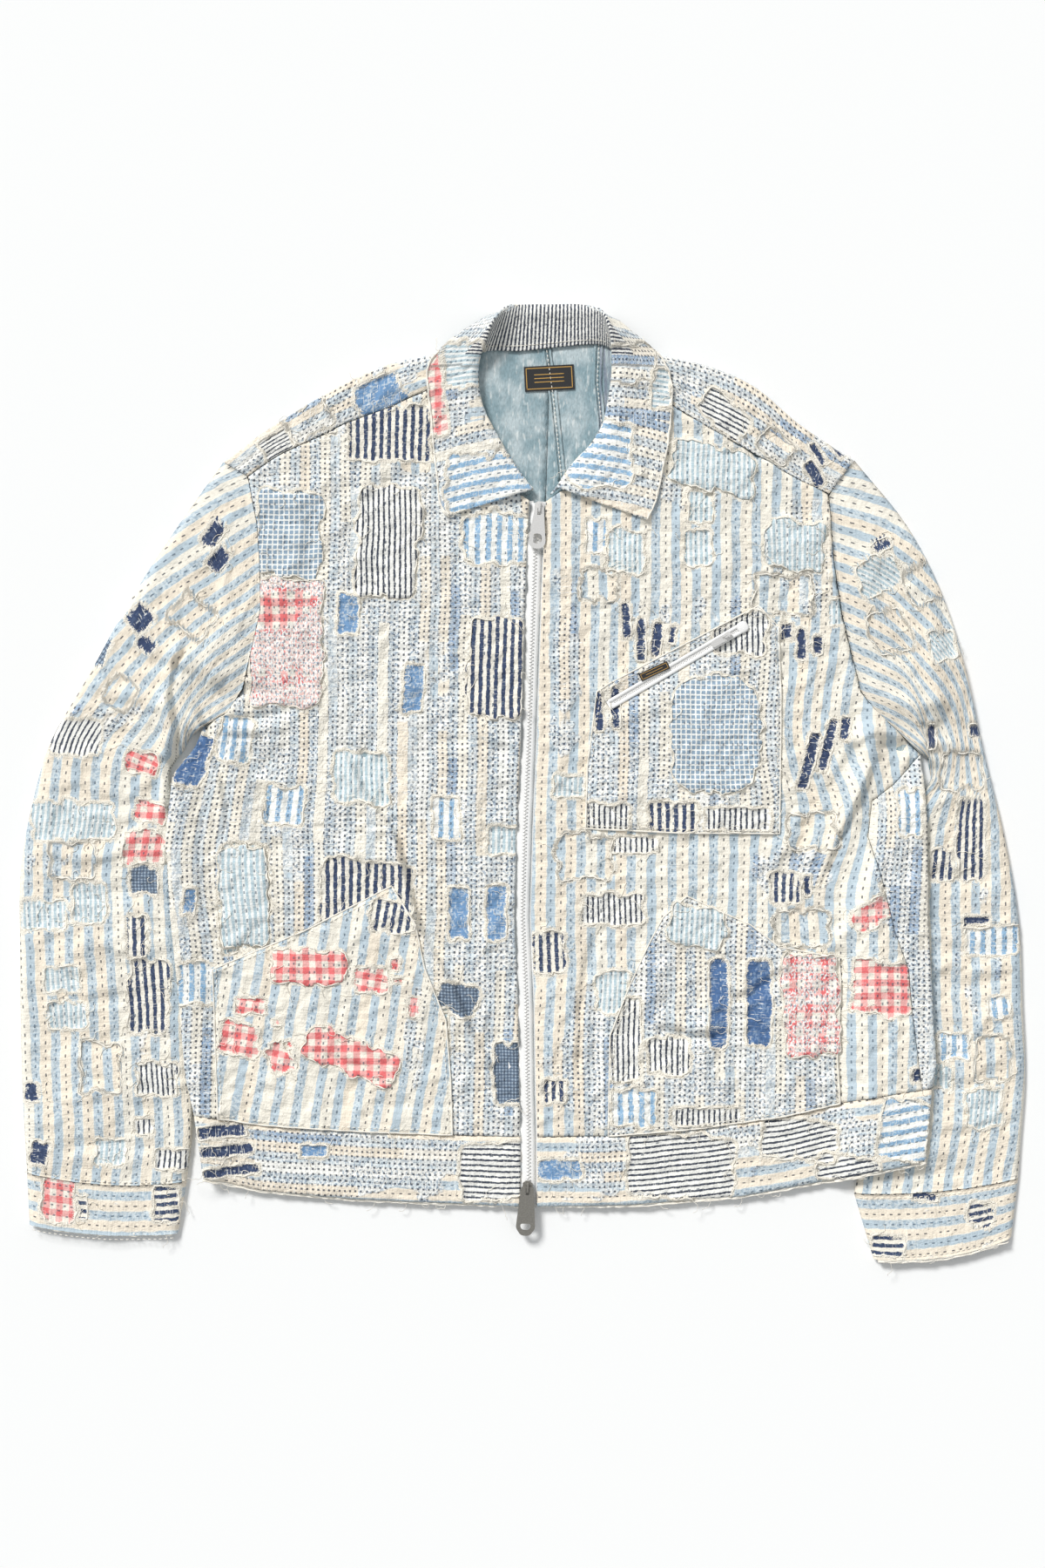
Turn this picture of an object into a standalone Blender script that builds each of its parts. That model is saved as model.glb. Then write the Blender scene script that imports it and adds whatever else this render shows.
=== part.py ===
"""A patched boro jacket laid flat on its back, with a two-way zip.

Metres, +Z up, the collar towards +Y and the wearer's left towards +X. The cloth lies in layers:
the back on the ground, the fronts over it, then pockets, then patches. All tables are in
millimetres, seen from above, and each height is that of a layer's underside unless it says mid.
"""

import math

import bmesh
import bpy
from mathutils import Vector
from mathutils.geometry import delaunay_2d_cdt

MM = 0.001

# Cloth and its layers.
CLOTH = 2.0  # thickness of a panel
BAND = 2.6  # waistband, folded double
POCKET = 1.6
PATCH = 1.0
TAPE = 0.8
SEAM = 0.2  # each panel stops this short of its seam line
GAP = 0.3  # between layers that lie on each other
BACK_Z = 0.0
FRONT_Z = 4.2
TAPE_Z = 3.1
SIDE_Z = 2.7  # the fronts come down to the back along the side edge
SIDE_REACH = 10.0
SLEEVE_TOP = 6.8
CUFF_TOP = 7.2
SLEEVE_LIFT = 8.2  # how far the body rises where a sleeve lies under it
LIFT_RAMP = 21.0
CUFF_GAP = 0.4  # between a sleeve and its cuff
BAND_DROP = 0.2  # the front waistband lies this much lower than the fronts
FRONT_EDGE = 6.5  # from the zip's middle to the edge of a front
TAPE_REACH = 15.0
CHAIN = 2.8  # half the width of the zip chain
CHAIN_TOP = 5.5
CHAIN_START = 0.15  # the chain starts this share of its first length below the tapes

# How a flattened tube and a folded yoke turn at their edges.
TUBE_SIDE = 1.9  # wall across at the edges
TUBE_SHOULDER = 1.2  # how far the inside's next points stay in from the outside's
YOKE_RISE = 0.6  # the middle of a yoke above its seam
YOKE_MIDDLE = 0.4  # where it is, as a share of the way to the fold
YOKE_SEAM = 0.45  # a yoke's mid surface stops this short of its front seam, and twice that at the back
FOLD_TURN = 3.0  # where a yoke starts to turn, from its fold
FOLD_TIP = 1.0  # where its mid surface ends
YOKE_END = 0.5  # a yoke stops this short of the neck and of the sleeve

# Colours: (red, green, blue), roughness, metallic.
CREAM_STRIPE = ((0.78, 0.76, 0.70), 0.9, 0.0)
WORN_STRIPE = ((0.66, 0.68, 0.69), 0.9, 0.0)
LIGHT_BLUE = ((0.50, 0.62, 0.70), 0.9, 0.0)
NAVY_STRIPE = ((0.35, 0.36, 0.42), 0.9, 0.0)
GINGHAM = ((0.80, 0.35, 0.34), 0.9, 0.0)
BLUE_CHECK = ((0.36, 0.47, 0.60), 0.9, 0.0)
CHAMBRAY = ((0.38, 0.48, 0.53), 0.9, 0.0)
WHITE_TAPE = ((0.82, 0.82, 0.80), 0.8, 0.0)
BLACK_LABEL = ((0.03, 0.03, 0.03), 0.7, 0.0)
SILVER = ((0.62, 0.61, 0.58), 0.35, 1.0)
DARK_METAL = ((0.33, 0.32, 0.31), 0.45, 1.0)

# Seam lines, each from the neck or the zip outwards, or from the armpit up.
ZIP_LINE = [(12, 225), (11, 208), (8.5, 138), (5, 33), (2, -37), (0, -107), (3, -177),
            (4, -246.5), (5, -284.5), (5, -340.5)]
NECK_RIGHT = [(4, 224.5), (-24, 246), (-33.5, 263.5), (-43.5, 280.5), (-50.5, 299), (-51, 320)]
NECK_LEFT = [(19, 225.5), (47.5, 244), (63, 260), (78.5, 280.5), (85.5, 299), (89, 317)]
NECK_BACK = [(-50.5, 333), (-47, 340.5), (-38.5, 347), (-28, 349.5), (0, 349), (22.5, 352), (35, 354),
             (63, 354.5), (74, 350.5), (83.5, 342), (87.5, 331)]
MIDDLE_BACK = [(22.5, 352), (12.5, 26), (5, -284.5)]
ARMHOLE_RIGHT = [(-255.5, 44), (-236.5, 55.5), (-224, 75), (-217, 107), (-210, 138), (-210.5, 173),
                 (-213, 208), (-220, 244.5), (-240, 256.5)]
ARMHOLE_LEFT = [(319, 22), (299.5, 41.5), (281.5, 58.5), (271, 72), (264, 101), (256, 135),
                (250, 173), (245.5, 230.5), (266, 258)]
SIDE_EDGE_RIGHT = [(-255.5, 44), (-262, 29), (-280, 5), (-285.5, -44), (-281.5, -107), (-274.5, -177),
                   (-270, -232.5), (-262.5, -266.5)]
SIDE_EDGE_LEFT = [(319, 22), (322, -9), (323.5, -37), (324, -107), (327.5, -177), (330.5, -225.5),
                  (327, -244.5)]
SIDE_PANEL_SEAM = [(319, 22), (297.5, -2), (280, -15.5), (276.5, -44), (287, -79), (297.5, -120.5),
                   (308, -149), (311.5, -187), (319, -246)]
BAND_TOP_RIGHT = [(5, -284.5), (-70, -282.5), (-140, -279.5), (-210, -275), (-262.5, -266.5)]
BAND_TOP_LEFT = [(5, -284.5), (70, -284), (140, -278), (210, -268), (266, -255), (319, -246)]
BAND_SIDE_LEFT = (327, -244.5)
HEM_RIGHT = [(5, -340.5), (-70, -337), (-140, -334), (-210, -327), (-255, -317)]
HEM_LEFT = [(5, -340.5), (84, -339), (175, -332), (252, -318), (322, -303)]

# Shoulder yokes: the front seam and the fold over the shoulder, from the neck outwards.
YOKE_RIGHT = dict(
    front=[(-51, 320), (-77, 313), (-112, 298), (-140, 287.5), (-175, 271), (-196.5, 261),
           (-220, 244.5)],
    fold=[(-49.5, 345), (-75.5, 342.5), (-112, 334), (-140, 321.5), (-175, 301.5), (-210, 279.5),
          (-240, 256.5)],
)
YOKE_LEFT = dict(
    front=[(89, 317), (119, 302), (147, 285), (177, 268), (217.5, 244), (245.5, 230.5)],
    fold=[(87, 345), (117.5, 341), (148.5, 334), (182, 320), (224, 286), (266, 258)],
)

# The inner edge of each sleeve where it runs under the body, from the armpit down.
HIDDEN_RIGHT = [(-290.5, 26), (-283.5, 12), (-276, -5), (-276, -44), (-271.5, -107), (-265.5, -177),
                (-260.5, -232.5), (-254, -266.5), (-252, -317), (-250.5, -387)]
HIDDEN_LEFT = [(339.5, 19), (326, 2), (306.5, -19), (287, -54), (275, -107), (273.5, -177),
               (275, -246.5), (269, -296), (262.5, -329.5), (257.5, -387)]

# Sleeve sections below the armhole: inner edge, middle and outer edge.
SLEEVE_RIGHT = [
    ((-265.5, 36), (-245, 138), (-276.5, 205)),
    ((-271.5, 25), (-287, 96), (-315, 145)),
    ((-277, 18), (-315, 61), (-350, 82)),
    ((-283, 6.5), (-329, 26), (-378, 33)),
    ((-278.5, -23), (-336, -21.5), (-393.5, -19)),
    ((-278, -72), (-340, -72), (-402.5, -72)),
    ((-273.5, -127.5), (-339, -131), (-403, -135)),
    ((-268, -184), (-336, -191), (-402.5, -198)),
    ((-264, -239.5), (-332.5, -250), (-400.5, -261)),
    ((-265.5, -289), (-332.5, -299), (-398.5, -296)),
    ((-269.5, -320), (-332.5, -323), (-397.5, -313)),
]
SLEEVE_LEFT = [
    ((326, 18), (297.5, 124), (308, 206)),
    ((327, 8), (323.5, 79), (336, 152)),
    ((326, -2), (343, 33), (354, 96)),
    ((309.5, -24), (346.5, -9), (369.5, 26)),
    ((292.5, -57.5), (343, -54), (385, -37)),
    ((280, -107), (338, -107), (397.5, -107)),
    ((278.5, -177), (339.5, -177), (401, -177)),
    ((280, -246.5), (341, -246.5), (403, -239.5)),
    ((273.5, -296), (337.5, -296), (399.5, -289)),
    ((266, -329.5), (332.5, -328), (397.5, -317.5)),
]
CUFF_HEM_RIGHT = ((-276.5, -362), (-336, -363), (-395.5, -355))
CUFF_HEM_LEFT = ((281.5, -382.5), (339.5, -380.5), (392, -365))
ACROSS = (0.0, 0.03, 0.14, 0.32, 0.5, 0.68, 0.86, 0.97, 1.0)  # where a section's points lie

# The largest folds: line, half width, height, and whether it keeps its height at each end.
FOLDS = {
    "front_right": [
        ([(-126, 12), (-91, -79), (-66.5, -142), (-28, -232.5)], 14, 3.5, 0, 0),
        ([(-232.5, 57.5), (-236.5, 12), (-210, -44)], 13, 5.0, 1, 0),
        ([(-189, 250), (-178.5, 194), (-189, 138)], 12, 2.5, 0, 0),
    ],
    "front_left": [
        ([(284, 53), (269.5, -2), (246.5, -75)], 13, 8.0, 1, 0),
        ([(150.5, -177), (140, -222), (168, -275)], 13, 3.5, 0, 0),
        ([(285.5, -37), (273, -100), (248.5, -135)], 12, 4.5, 0, 0),
    ],
    "sleeve_right": [
        ([(-236.5, 124), (-255, 93), (-264.5, 68), (-269, 40)], 11, 9.0, 0, 1),
        ([(-287, 110), (-276, 68), (-274.5, 32)], 9, 7.0, 0, 1),
        ([(-378, -120.5), (-336, -142), (-294, -135)], 18, 4.0, 0, 0),
        ([(-385, -232.5), (-343, -253.5), (-301, -246.5)], 18, 3.5, 0, 0),
    ],
    "sleeve_left": [
        ([(255.5, 236), (311.5, 180), (320.5, 96), (327.5, 20.5)], 15, 6.0, 0, 1),
        ([(288.5, 60), (308, 68), (350, 61)], 12, 5.0, 1, 0),
        ([(343, -113.5), (371, -135), (392, -163)], 16, 4.0, 0, 0),
        ([(339.5, -225.5), (364, -246.5), (392, -275)], 16, 3.5, 0, 0),
    ],
}

# Collar sections from the right front round the neck to the left front: the seam, the roll and
# the outer edge, then the heights of its mid surface at the seam, the top of the stand, the
# roll, the start of the fall and the outer edge. At the back the fall is folded under.
COLLAR = [
    ((4, 230), (8.5, 234), (-59.5, 212.5), 4.8, 5.8, 8.0, 10.2, 8.4),
    ((-7.5, 239), (0, 244.5), (-65, 220), 4.6, 5.8, 8.0, 10.2, 8.4),
    ((-20.5, 248), (-11, 261.5), (-68.5, 245.5), 4.6, 5.8, 8.0, 10.2, 8.4),
    ((-30, 265), (-22.5, 281), (-71.5, 272), 4.6, 5.8, 8.0, 10.2, 8.4),
    ((-40, 282), (-31, 298), (-73, 292), 4.6, 5.8, 8.0, 10.2, 8.4),
    ((-47, 300), (-35.5, 317.5), (-75.5, 315.5), 4.6, 6.4, 9.0, 11.2, 8.6),
    ((-47, 319.5), (-35, 337), (-74, 335.5), 4.6, 8.0, 12.0, 13.4, 9.0),
    ((-43.5, 337), (-29.5, 352.5), (-56.5, 354.5), 4.4, 13.0, 18.0, 17.5, 9.4),
    ((-35.5, 343.5), (-23, 366.5), (-40, 365), 4.2, 19.0, 23.0, 20.0, 9.0),
    ((-25, 346), (-14, 377.5), (-24, 373.5), 3.9, 17.0, 17.5, 12.0, 4.5),
    ((-3, 345.5), (0, 381.5), (-1.5, 356.5), 3.6, 9.0, 6.5, 2.6, 1.2),
    ((22.5, 348), (24, 382), (22.5, 359.5), 3.6, 7.5, 5.0, 1.8, 1.1),
    ((47.5, 350.5), (47.5, 381.5), (49, 362), 3.6, 9.0, 6.5, 2.6, 1.2),
    ((62.5, 351), (62.5, 375.5), (71.5, 371.5), 3.9, 16.0, 17.0, 12.0, 4.5),
    ((72, 347), (69.5, 361), (90.5, 357.5), 4.2, 17.0, 21.0, 19.0, 9.0),
    ((79, 338), (72, 343.5), (108.5, 342.5), 4.4, 11.0, 15.0, 15.0, 9.2),
    ((84.5, 318), (71.5, 324.5), (118.5, 322.5), 4.6, 7.0, 10.0, 12.0, 8.8),
    ((82, 300), (68.5, 304), (119, 297), 4.6, 5.8, 8.0, 10.2, 8.4),
    ((75, 282.5), (65, 288), (117, 275), 4.6, 5.8, 8.0, 10.2, 8.4),
    ((60, 263.5), (55.5, 271), (112, 250), 4.6, 5.8, 8.0, 10.2, 8.4),
    ((44, 247.5), (39, 253), (107, 227), 4.6, 5.8, 8.0, 10.2, 8.4),
    ((22.5, 230.5), (27.5, 235.5), (100, 209.5), 4.8, 5.8, 8.0, 10.2, 8.4),
]

STAND_TOP = 0.9  # share of the way from the seam to the roll
FALL_START = 0.07  # share of the way from the roll to the outer edge
COLLAR_BOW = 0.6  # share of a stretch's rise that its middle has

# Pockets and labels.
HAND_POCKET_RIGHT = [(-248, -150), (-175, -119.5), (-105, -83.5), (-85.5, -113.5), (-78.5, -149),
                     (-61.5, -191), (-57.5, -239.5), (-56, -292), (-243, -285)]
HAND_POCKET_LEFT = [(68.5, -294.5), (70, -203.5), (84, -167.5), (96, -140.5), (112, -109),
                    (131.5, -91.5), (182.5, -114.5), (206, -132.5), (253.5, -140.5), (255, -167.5),
                    (251.5, -214.5), (255, -271)]
CHEST_POCKET = [(59.5, 72), (70, 79), (189, 141), (205, 124), (207, 68), (206, -41.5),
                (126, -41), (50.5, -37.5), (52, 12)]
CHEST_ZIP = ((73, 63.5), (175, 123))
CHEST_TAPE = 3.5  # half width
CHEST_CHAIN = 1.4
CHEST_PAST = 5.0  # how far the tape runs on past its chain
NECK_LABEL = ((21.5, 324), 40.0, 20.0, 3.0)  # middle, width, height, turn in degrees
POCKET_LABEL = ((105.5, 88.5), 25.0, 6.5, 25.0)
LABEL = 0.8

# Patches: name, panel, whether on a pocket, middle, width, height, turn in degrees, cloth.
PATCHES = [
    ("patch_check_shoulder", "front_right", 0, (-187.5, 198.5), 53, 68, -3, BLUE_CHECK),
    ("patch_gingham_chest", "front_right", 0, (-189, 111.5), 55, 99, -2, GINGHAM),
    ("patch_navy_collar", "front_right", 0, (-108, 192), 49, 86, -4, NAVY_STRIPE),
    ("patch_navy_zip", "front_right", 0, (-21.5, 91.5), 44, 77, -3, NAVY_STRIPE),
    ("patch_light_waist", "front_right", 0, (-223.5, -92), 38, 78, 2, LIGHT_BLUE),
    ("patch_gingham_pocket_low", "front_right", 1, (-137, -219.5), 74, 30, -22, GINGHAM),
    ("patch_gingham_pocket_high", "front_right", 1, (-159.5, -150), 60, 25, 0, GINGHAM),
    ("patch_light_collar", "front_left", 0, (152.5, 251), 66, 34, -14, LIGHT_BLUE),
    ("patch_light_armhole", "front_left", 0, (218.5, 190), 46, 38, -8, LIGHT_BLUE),
    ("patch_check_chest", "front_left", 1, (154, 36), 70, 90, 0, BLUE_CHECK),
    ("patch_gingham_left_pocket", "front_left", 1, (231, -179), 40, 78, 3, GINGHAM),
    ("patch_light_left_pocket", "front_left", 1, (140, -116), 42, 30, -10, LIGHT_BLUE),
]

# Zip sliders: middle of the hinge, turn in degrees, scale, height of the chain under it.
TOP_SLIDER = ((13.5, 219.5), -4.0, 1.0, CHAIN_TOP)
BOTTOM_SLIDER = ((4, -324.5), -3.0, 1.0, CHAIN_TOP)
CHEST_SLIDER = ((164, 116.5), -59.8, 0.75, 8.5)
SLIDER = dict(length=10.0, width=8.0, plate=2.2, bar=1.6, post=1.4, window=5.0, rise=2.6, top=1.4)
HINGE_RISE = 3.6  # from the chain's top to the hinge, at scale 1
TAB = dict(thick=1.5, slot=2.6, slot_end=6.0, bar=0.75)

materials = {}


# ---- plain geometry in the plane -------------------------------------------------------------

def lerp(a, b, t):
    """The point a share t of the way from a to b, for numbers or for points."""
    if isinstance(a, (int, float)):
        return a + (b - a) * t
    return tuple(p + (q - p) * t for p, q in zip(a, b))


def smooth(t):
    """0 below 0, 1 above 1 and an even slope between."""
    t = min(1.0, max(0.0, t))
    return t * t * (3 - 2 * t)


def spaced(line, step, closed=False):
    """The line's own points, with more between them so that none lie further apart than step."""
    ends = line[1:] + line[:1] if closed else line[1:]
    points = []
    for a, b in zip(line, ends):
        parts = max(1, math.ceil(math.dist(a, b) / step))
        points += [lerp(a, b, k / parts) for k in range(parts)]
    return points if closed else points + [line[-1]]


def nearest(point, line):
    """The distance from a point to a line, and how far along the line that is, from 0 to 1."""
    lengths = [math.dist(a, b) for a, b in zip(line, line[1:])]
    best, run = (1e9, 0.0), 0.0
    for a, b, length in zip(line, line[1:], lengths):
        along = sum((p - q) * (r - q) for p, q, r in zip(point, a, b)) / length**2
        along = min(1.0, max(0.0, along))
        gap = math.dist(point, lerp(a, b, along))
        if gap < best[0]:
            best = (gap, (run + along * length) / sum(lengths))
        run += length
    return best


def inside(point, outline):
    """Whether a point lies in a closed outline."""
    x, y = point
    odd = False
    for (ax, ay), (bx, by) in zip(outline, outline[1:] + outline[:1]):
        if (ay > y) != (by > y) and x < ax + (y - ay) / (by - ay) * (bx - ax):
            odd = not odd
    return odd


def shrunk(outline, gap):
    """A closed outline moved in by gap, or out where gap is negative."""
    turn = sum(ax * by - bx * ay for (ax, ay), (bx, by) in zip(outline, outline[1:] + outline[:1]))
    side = 1.0 if turn > 0 else -1.0
    points = []
    for before, here, after in zip(outline[-1:] + outline[:-1], outline, outline[1:] + outline[:1]):
        one = (Vector(here) - Vector(before)).normalized()
        two = (Vector(after) - Vector(here)).normalized()
        normal = Vector((-one.y - two.y, one.x + two.x)).normalized() * side
        reach = gap / max(0.35, normal.dot(Vector((-one.y, one.x)) * side))
        points.append((here[0] + normal.x * reach, here[1] + normal.y * reach))
    return points


def beside(line, offset):
    """An open line moved sideways, to its left where offset is positive."""
    points = []
    for k, here in enumerate(line):
        before, after = line[max(0, k - 1)], line[min(len(line) - 1, k + 1)]
        way = (Vector(after) - Vector(before)).normalized()
        points.append((here[0] - way.y * offset, here[1] + way.x * offset))
    return points


def block(middle, width, height, turn, cut=0.0):
    """A rectangle turned about its middle, with its corners cut by a share of its sides."""
    w, h, c, s = width / 2, height / 2, math.cos(math.radians(turn)), math.sin(math.radians(turn))
    if cut:
        a, b = w * (1 - cut), h * (1 - cut)
        corners = [(-a, -h), (a, -h), (w, -b), (w, b), (a, h), (-a, h), (-w, b), (-w, -b)]
    else:
        corners = [(-w, -h), (w, -h), (w, h), (-w, h)]
    return [(middle[0] + x * c - y * s, middle[1] + x * s + y * c) for x, y in corners]


# ---- how high the cloth lies -----------------------------------------------------------------

def line_x(line, y):
    """Where a line that runs downwards is at height y on the plan."""
    for (ax, ay), (bx, by) in zip(line, line[1:]):
        if by <= y <= ay:
            return ax + (bx - ax) * (ay - y) / (ay - by)
    return line[0][0] if y > line[0][1] else line[-1][0]


def lift(point):
    """How far the body rises over a sleeve that lies under its side."""
    inward_right = point[0] - line_x(HIDDEN_RIGHT, point[1])
    inward_left = line_x(HIDDEN_LEFT, point[1]) - point[0]
    return SLEEVE_LIFT * smooth(1 - min(inward_right, inward_left) / LIFT_RAMP)


def folds(point, panel):
    """The height of a panel's folds at a point."""
    total = 0.0
    for line, reach, height, keeps_start, keeps_end in FOLDS.get(panel, ()):
        gap, along = nearest(point, line)
        if gap < reach:
            start = 1.0 if keeps_start else smooth(along / 0.3)
            end = 1.0 if keeps_end else smooth((1 - along) / 0.3)
            total += height * start * end * math.cos(math.pi / 2 * gap / reach) ** 2
    return total


def front_under(point, panel):
    """The underside of a front: up over folds and sleeves, down at the side edge."""
    edge = SIDE_EDGE_RIGHT if panel.endswith("right") else SIDE_EDGE_LEFT
    down = (FRONT_Z - SIDE_Z) * (1 - smooth(nearest(point, edge)[0] / SIDE_REACH))
    return FRONT_Z + lift(point) + folds(point, panel) - down


def lift_lines():
    """The lines along which the body starts to rise and reaches its full rise."""
    for line, way in ((HIDDEN_RIGHT, 1), (HIDDEN_LEFT, -1)):
        yield spaced(line, 30)
        yield spaced([(x + way * LIFT_RAMP, y) for x, y in line], 30)


def fold_lines(panel):
    """The crest and both feet of each fold."""
    for line, reach, *_ in FOLDS.get(panel, ()):
        for offset in (-reach, 0, reach):
            yield spaced(beside(line, offset), 26)


# ---- solids ----------------------------------------------------------------------------------

def material(name, look):
    """One material for each look, made the first time it is asked for."""
    colour, roughness, metallic = look
    if look not in materials:
        made = bpy.data.materials.new(name)
        made.use_nodes = True
        shader = made.node_tree.nodes["Principled BSDF"]
        shader.inputs["Base Color"].default_value = (*colour, 1)
        shader.inputs["Roughness"].default_value = roughness
        shader.inputs["Metallic"].default_value = metallic
        made.diffuse_color = (*colour, 1)
        materials[look] = made
    return materials[look]


def add_object(name, verts, faces, look, origin=(0, 0, 0)):
    """An object from points in millimetres, its faces pointing out and its origin at origin."""
    mesh = bpy.data.meshes.new(name)
    mesh.from_pydata([[(p - o) * MM for p, o in zip(v, origin)] for v in verts], [], faces)
    bm = bmesh.new()
    bm.from_mesh(mesh)
    bmesh.ops.recalc_face_normals(bm, faces=bm.faces)
    if bm.calc_volume(signed=True) < 0:
        bmesh.ops.reverse_faces(bm, faces=bm.faces)
    bm.to_mesh(mesh)
    bm.free()
    made = bpy.data.objects.new(name, mesh)
    made.location = [o * MM for o in origin]
    mesh.materials.append(material(name, look))
    bpy.context.scene.collection.objects.link(made)
    return made


class Layers:
    """One triangulation shared by a panel and by all that lies on it, so layers stay parallel."""

    def __init__(self, outline, overlays=(), creases=(), step=31.0, open_step=0.0):
        self.outline = shrunk(outline, SEAM)
        loops = [spaced(self.outline, step, closed=True)]
        loops += [spaced(list(loop), step, closed=True) for loop in overlays]
        lines = list(creases)
        points, edges = [], []
        for number, line in enumerate(loops + lines):
            first = len(points)
            points += line
            edges += [(first + k, first + k + 1) for k in range(len(line) - 1)]
            if number < len(loops):
                edges.append((len(points) - 1, first))
        walls = [loop + loop[:1] for loop in loops] + lines
        step = open_step or step
        points += [p for p in self.grid(step) if min(nearest(p, w)[0] for w in walls) > 0.45 * step]
        flat = [Vector(p) for p in points]
        verts, _, faces, *_ = delaunay_2d_cdt(flat, edges, [], 0, 0.01)
        self.points = [(v.x, v.y) for v in verts]
        self.faces = [self.upward(face) for face in faces]
        self.faces = [face for face in self.faces if face and inside(self.centre(face), self.outline)]

    def grid(self, step):
        """Staggered rows of points over the panel."""
        xs, ys = zip(*self.outline)
        rows = int((max(ys) - min(ys)) / (0.87 * step))
        for row in range(rows + 1):
            y = min(ys) + 0.87 * step * row
            for column in range(int((max(xs) - min(xs)) / step) + 1):
                point = (min(xs) + step * (column + 0.5 * (row % 2)), y)
                if inside(point, self.outline):
                    yield point

    def upward(self, face):
        """The face's corners anticlockwise from above, or nothing for a sliver."""
        a, b, c = (self.points[i] for i in face)
        twice = (b[0] - a[0]) * (c[1] - a[1]) - (b[1] - a[1]) * (c[0] - a[0])
        if abs(twice) < 0.02:
            return None
        return tuple(face) if twice > 0 else tuple(reversed(face))

    def centre(self, face):
        return tuple(sum(self.points[i][k] for i in face) / 3 for k in (0, 1))

    def sheet(self, name, under, thick, look, outline=None, hole=None):
        """The panel, or what lies in an outline on it, as a wall above under(point)."""
        faces = [f for f in self.faces if outline is None or inside(self.centre(f), outline)]
        faces = [f for f in faces if hole is None or not inside(self.centre(f), hole)]
        used = sorted({i for face in faces for i in face})
        place = {i: k for k, i in enumerate(used)}
        count = len(used)
        low = [under(self.points[i]) for i in used]
        verts = [(*self.points[i], z) for i, z in zip(used, low)]
        verts += [(*self.points[i], z + thick) for i, z in zip(used, low)]
        tops = [tuple(place[i] for i in face) for face in faces]
        sides = {(f[k], f[(k + 1) % 3]) for f in tops for k in range(3)}
        rim = [(a, b, b + count, a + count) for a, b in sorted(sides) if (b, a) not in sides]
        solids = [tuple(i + count for i in f) for f in tops] + [tuple(reversed(f)) for f in tops]
        return add_object(name, verts, solids + rim, look)


def tube(name, sections, look, tops):
    """A flattened cloth tube through sections, rounded at both edges and open at its ends."""
    rings = []
    for section, top in zip(sections, tops):
        last = len(section) - 1
        outer, inner = [], []
        for k, point in enumerate(section):
            high = SLEEVE_TOP / 2 if k in (0, last) else top(point)
            outer.append((*point, high))
            towards = section[1] if k == 0 else section[last - 1]
            moved = point
            if k in (0, last):
                moved = lerp(point, towards, min(0.8, TUBE_SIDE / math.dist(point, towards)))
            elif k in (1, last - 1):
                further = section[2] if k == 1 else section[last - 2]
                moved = lerp(point, further, min(0.4, TUBE_SHOULDER / math.dist(point, further)))
            inner.append((*moved, high if k in (0, last) else high - CLOTH))
        low_outer = [(p[0], p[1], 0.0) for p in outer[last - 1:0:-1]]
        low_inner = [(p[0], p[1], CLOTH) for p in inner[last - 1:0:-1]]
        rings.append((outer + low_outer, inner + low_inner))
    size = len(rings[0][0])
    verts = [p for outer, inner in rings for p in outer + inner]
    faces = []
    for r in range(len(rings) - 1):
        for shell in (0, size):
            for k in range(size):
                a, b = 2 * size * r + shell + k, 2 * size * r + shell + (k + 1) % size
                faces.append((a, b, b + 2 * size, a + 2 * size))
    for end in (0, 2 * size * (len(rings) - 1)):
        for k in range(size):
            a, b = end + k, end + (k + 1) % size
            faces.append((a, b, b + size, a + size))
    return add_object(name, verts, faces, look)


def bowed(section):
    """The points across a section that passes through its inner edge, middle and outer edge."""
    a, b, c = (Vector(p) for p in section)
    curve = [a * (2 * t - 1) * (t - 1) + b * 4 * t * (1 - t) + c * t * (2 * t - 1) for t in ACROSS]
    return [(p.x, p.y) for p in curve]


def folded_wall(name, rows, thick, look):
    """A wall of even thickness around a mid surface, given as rows of points."""
    grid = [[Vector(p) for p in row] for row in rows]
    count, across = len(grid), len(grid[0])
    verts = []
    for side in (thick / 2, -thick / 2):
        for i in range(count):
            for j in range(across):
                way = grid[min(i + 1, count - 1)][j] - grid[max(i - 1, 0)][j]
                over = grid[i][min(j + 1, across - 1)] - grid[i][max(j - 1, 0)]
                verts.append(tuple(grid[i][j] + way.cross(over).normalized() * side))
    total = count * across
    top = [(i * across + j, i * across + j + 1, (i + 1) * across + j + 1, (i + 1) * across + j)
           for i in range(count - 1) for j in range(across - 1)]
    sides = {(f[k], f[(k + 1) % 4]) for f in top for k in range(4)}
    rim = [(a, b, b + total, a + total) for a, b in sorted(sides) if (b, a) not in sides]
    faces = top + [tuple(i + total for i in reversed(f)) for f in top]
    return add_object(name, verts, faces + [tuple(reversed(f)) for f in rim], look)


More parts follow.
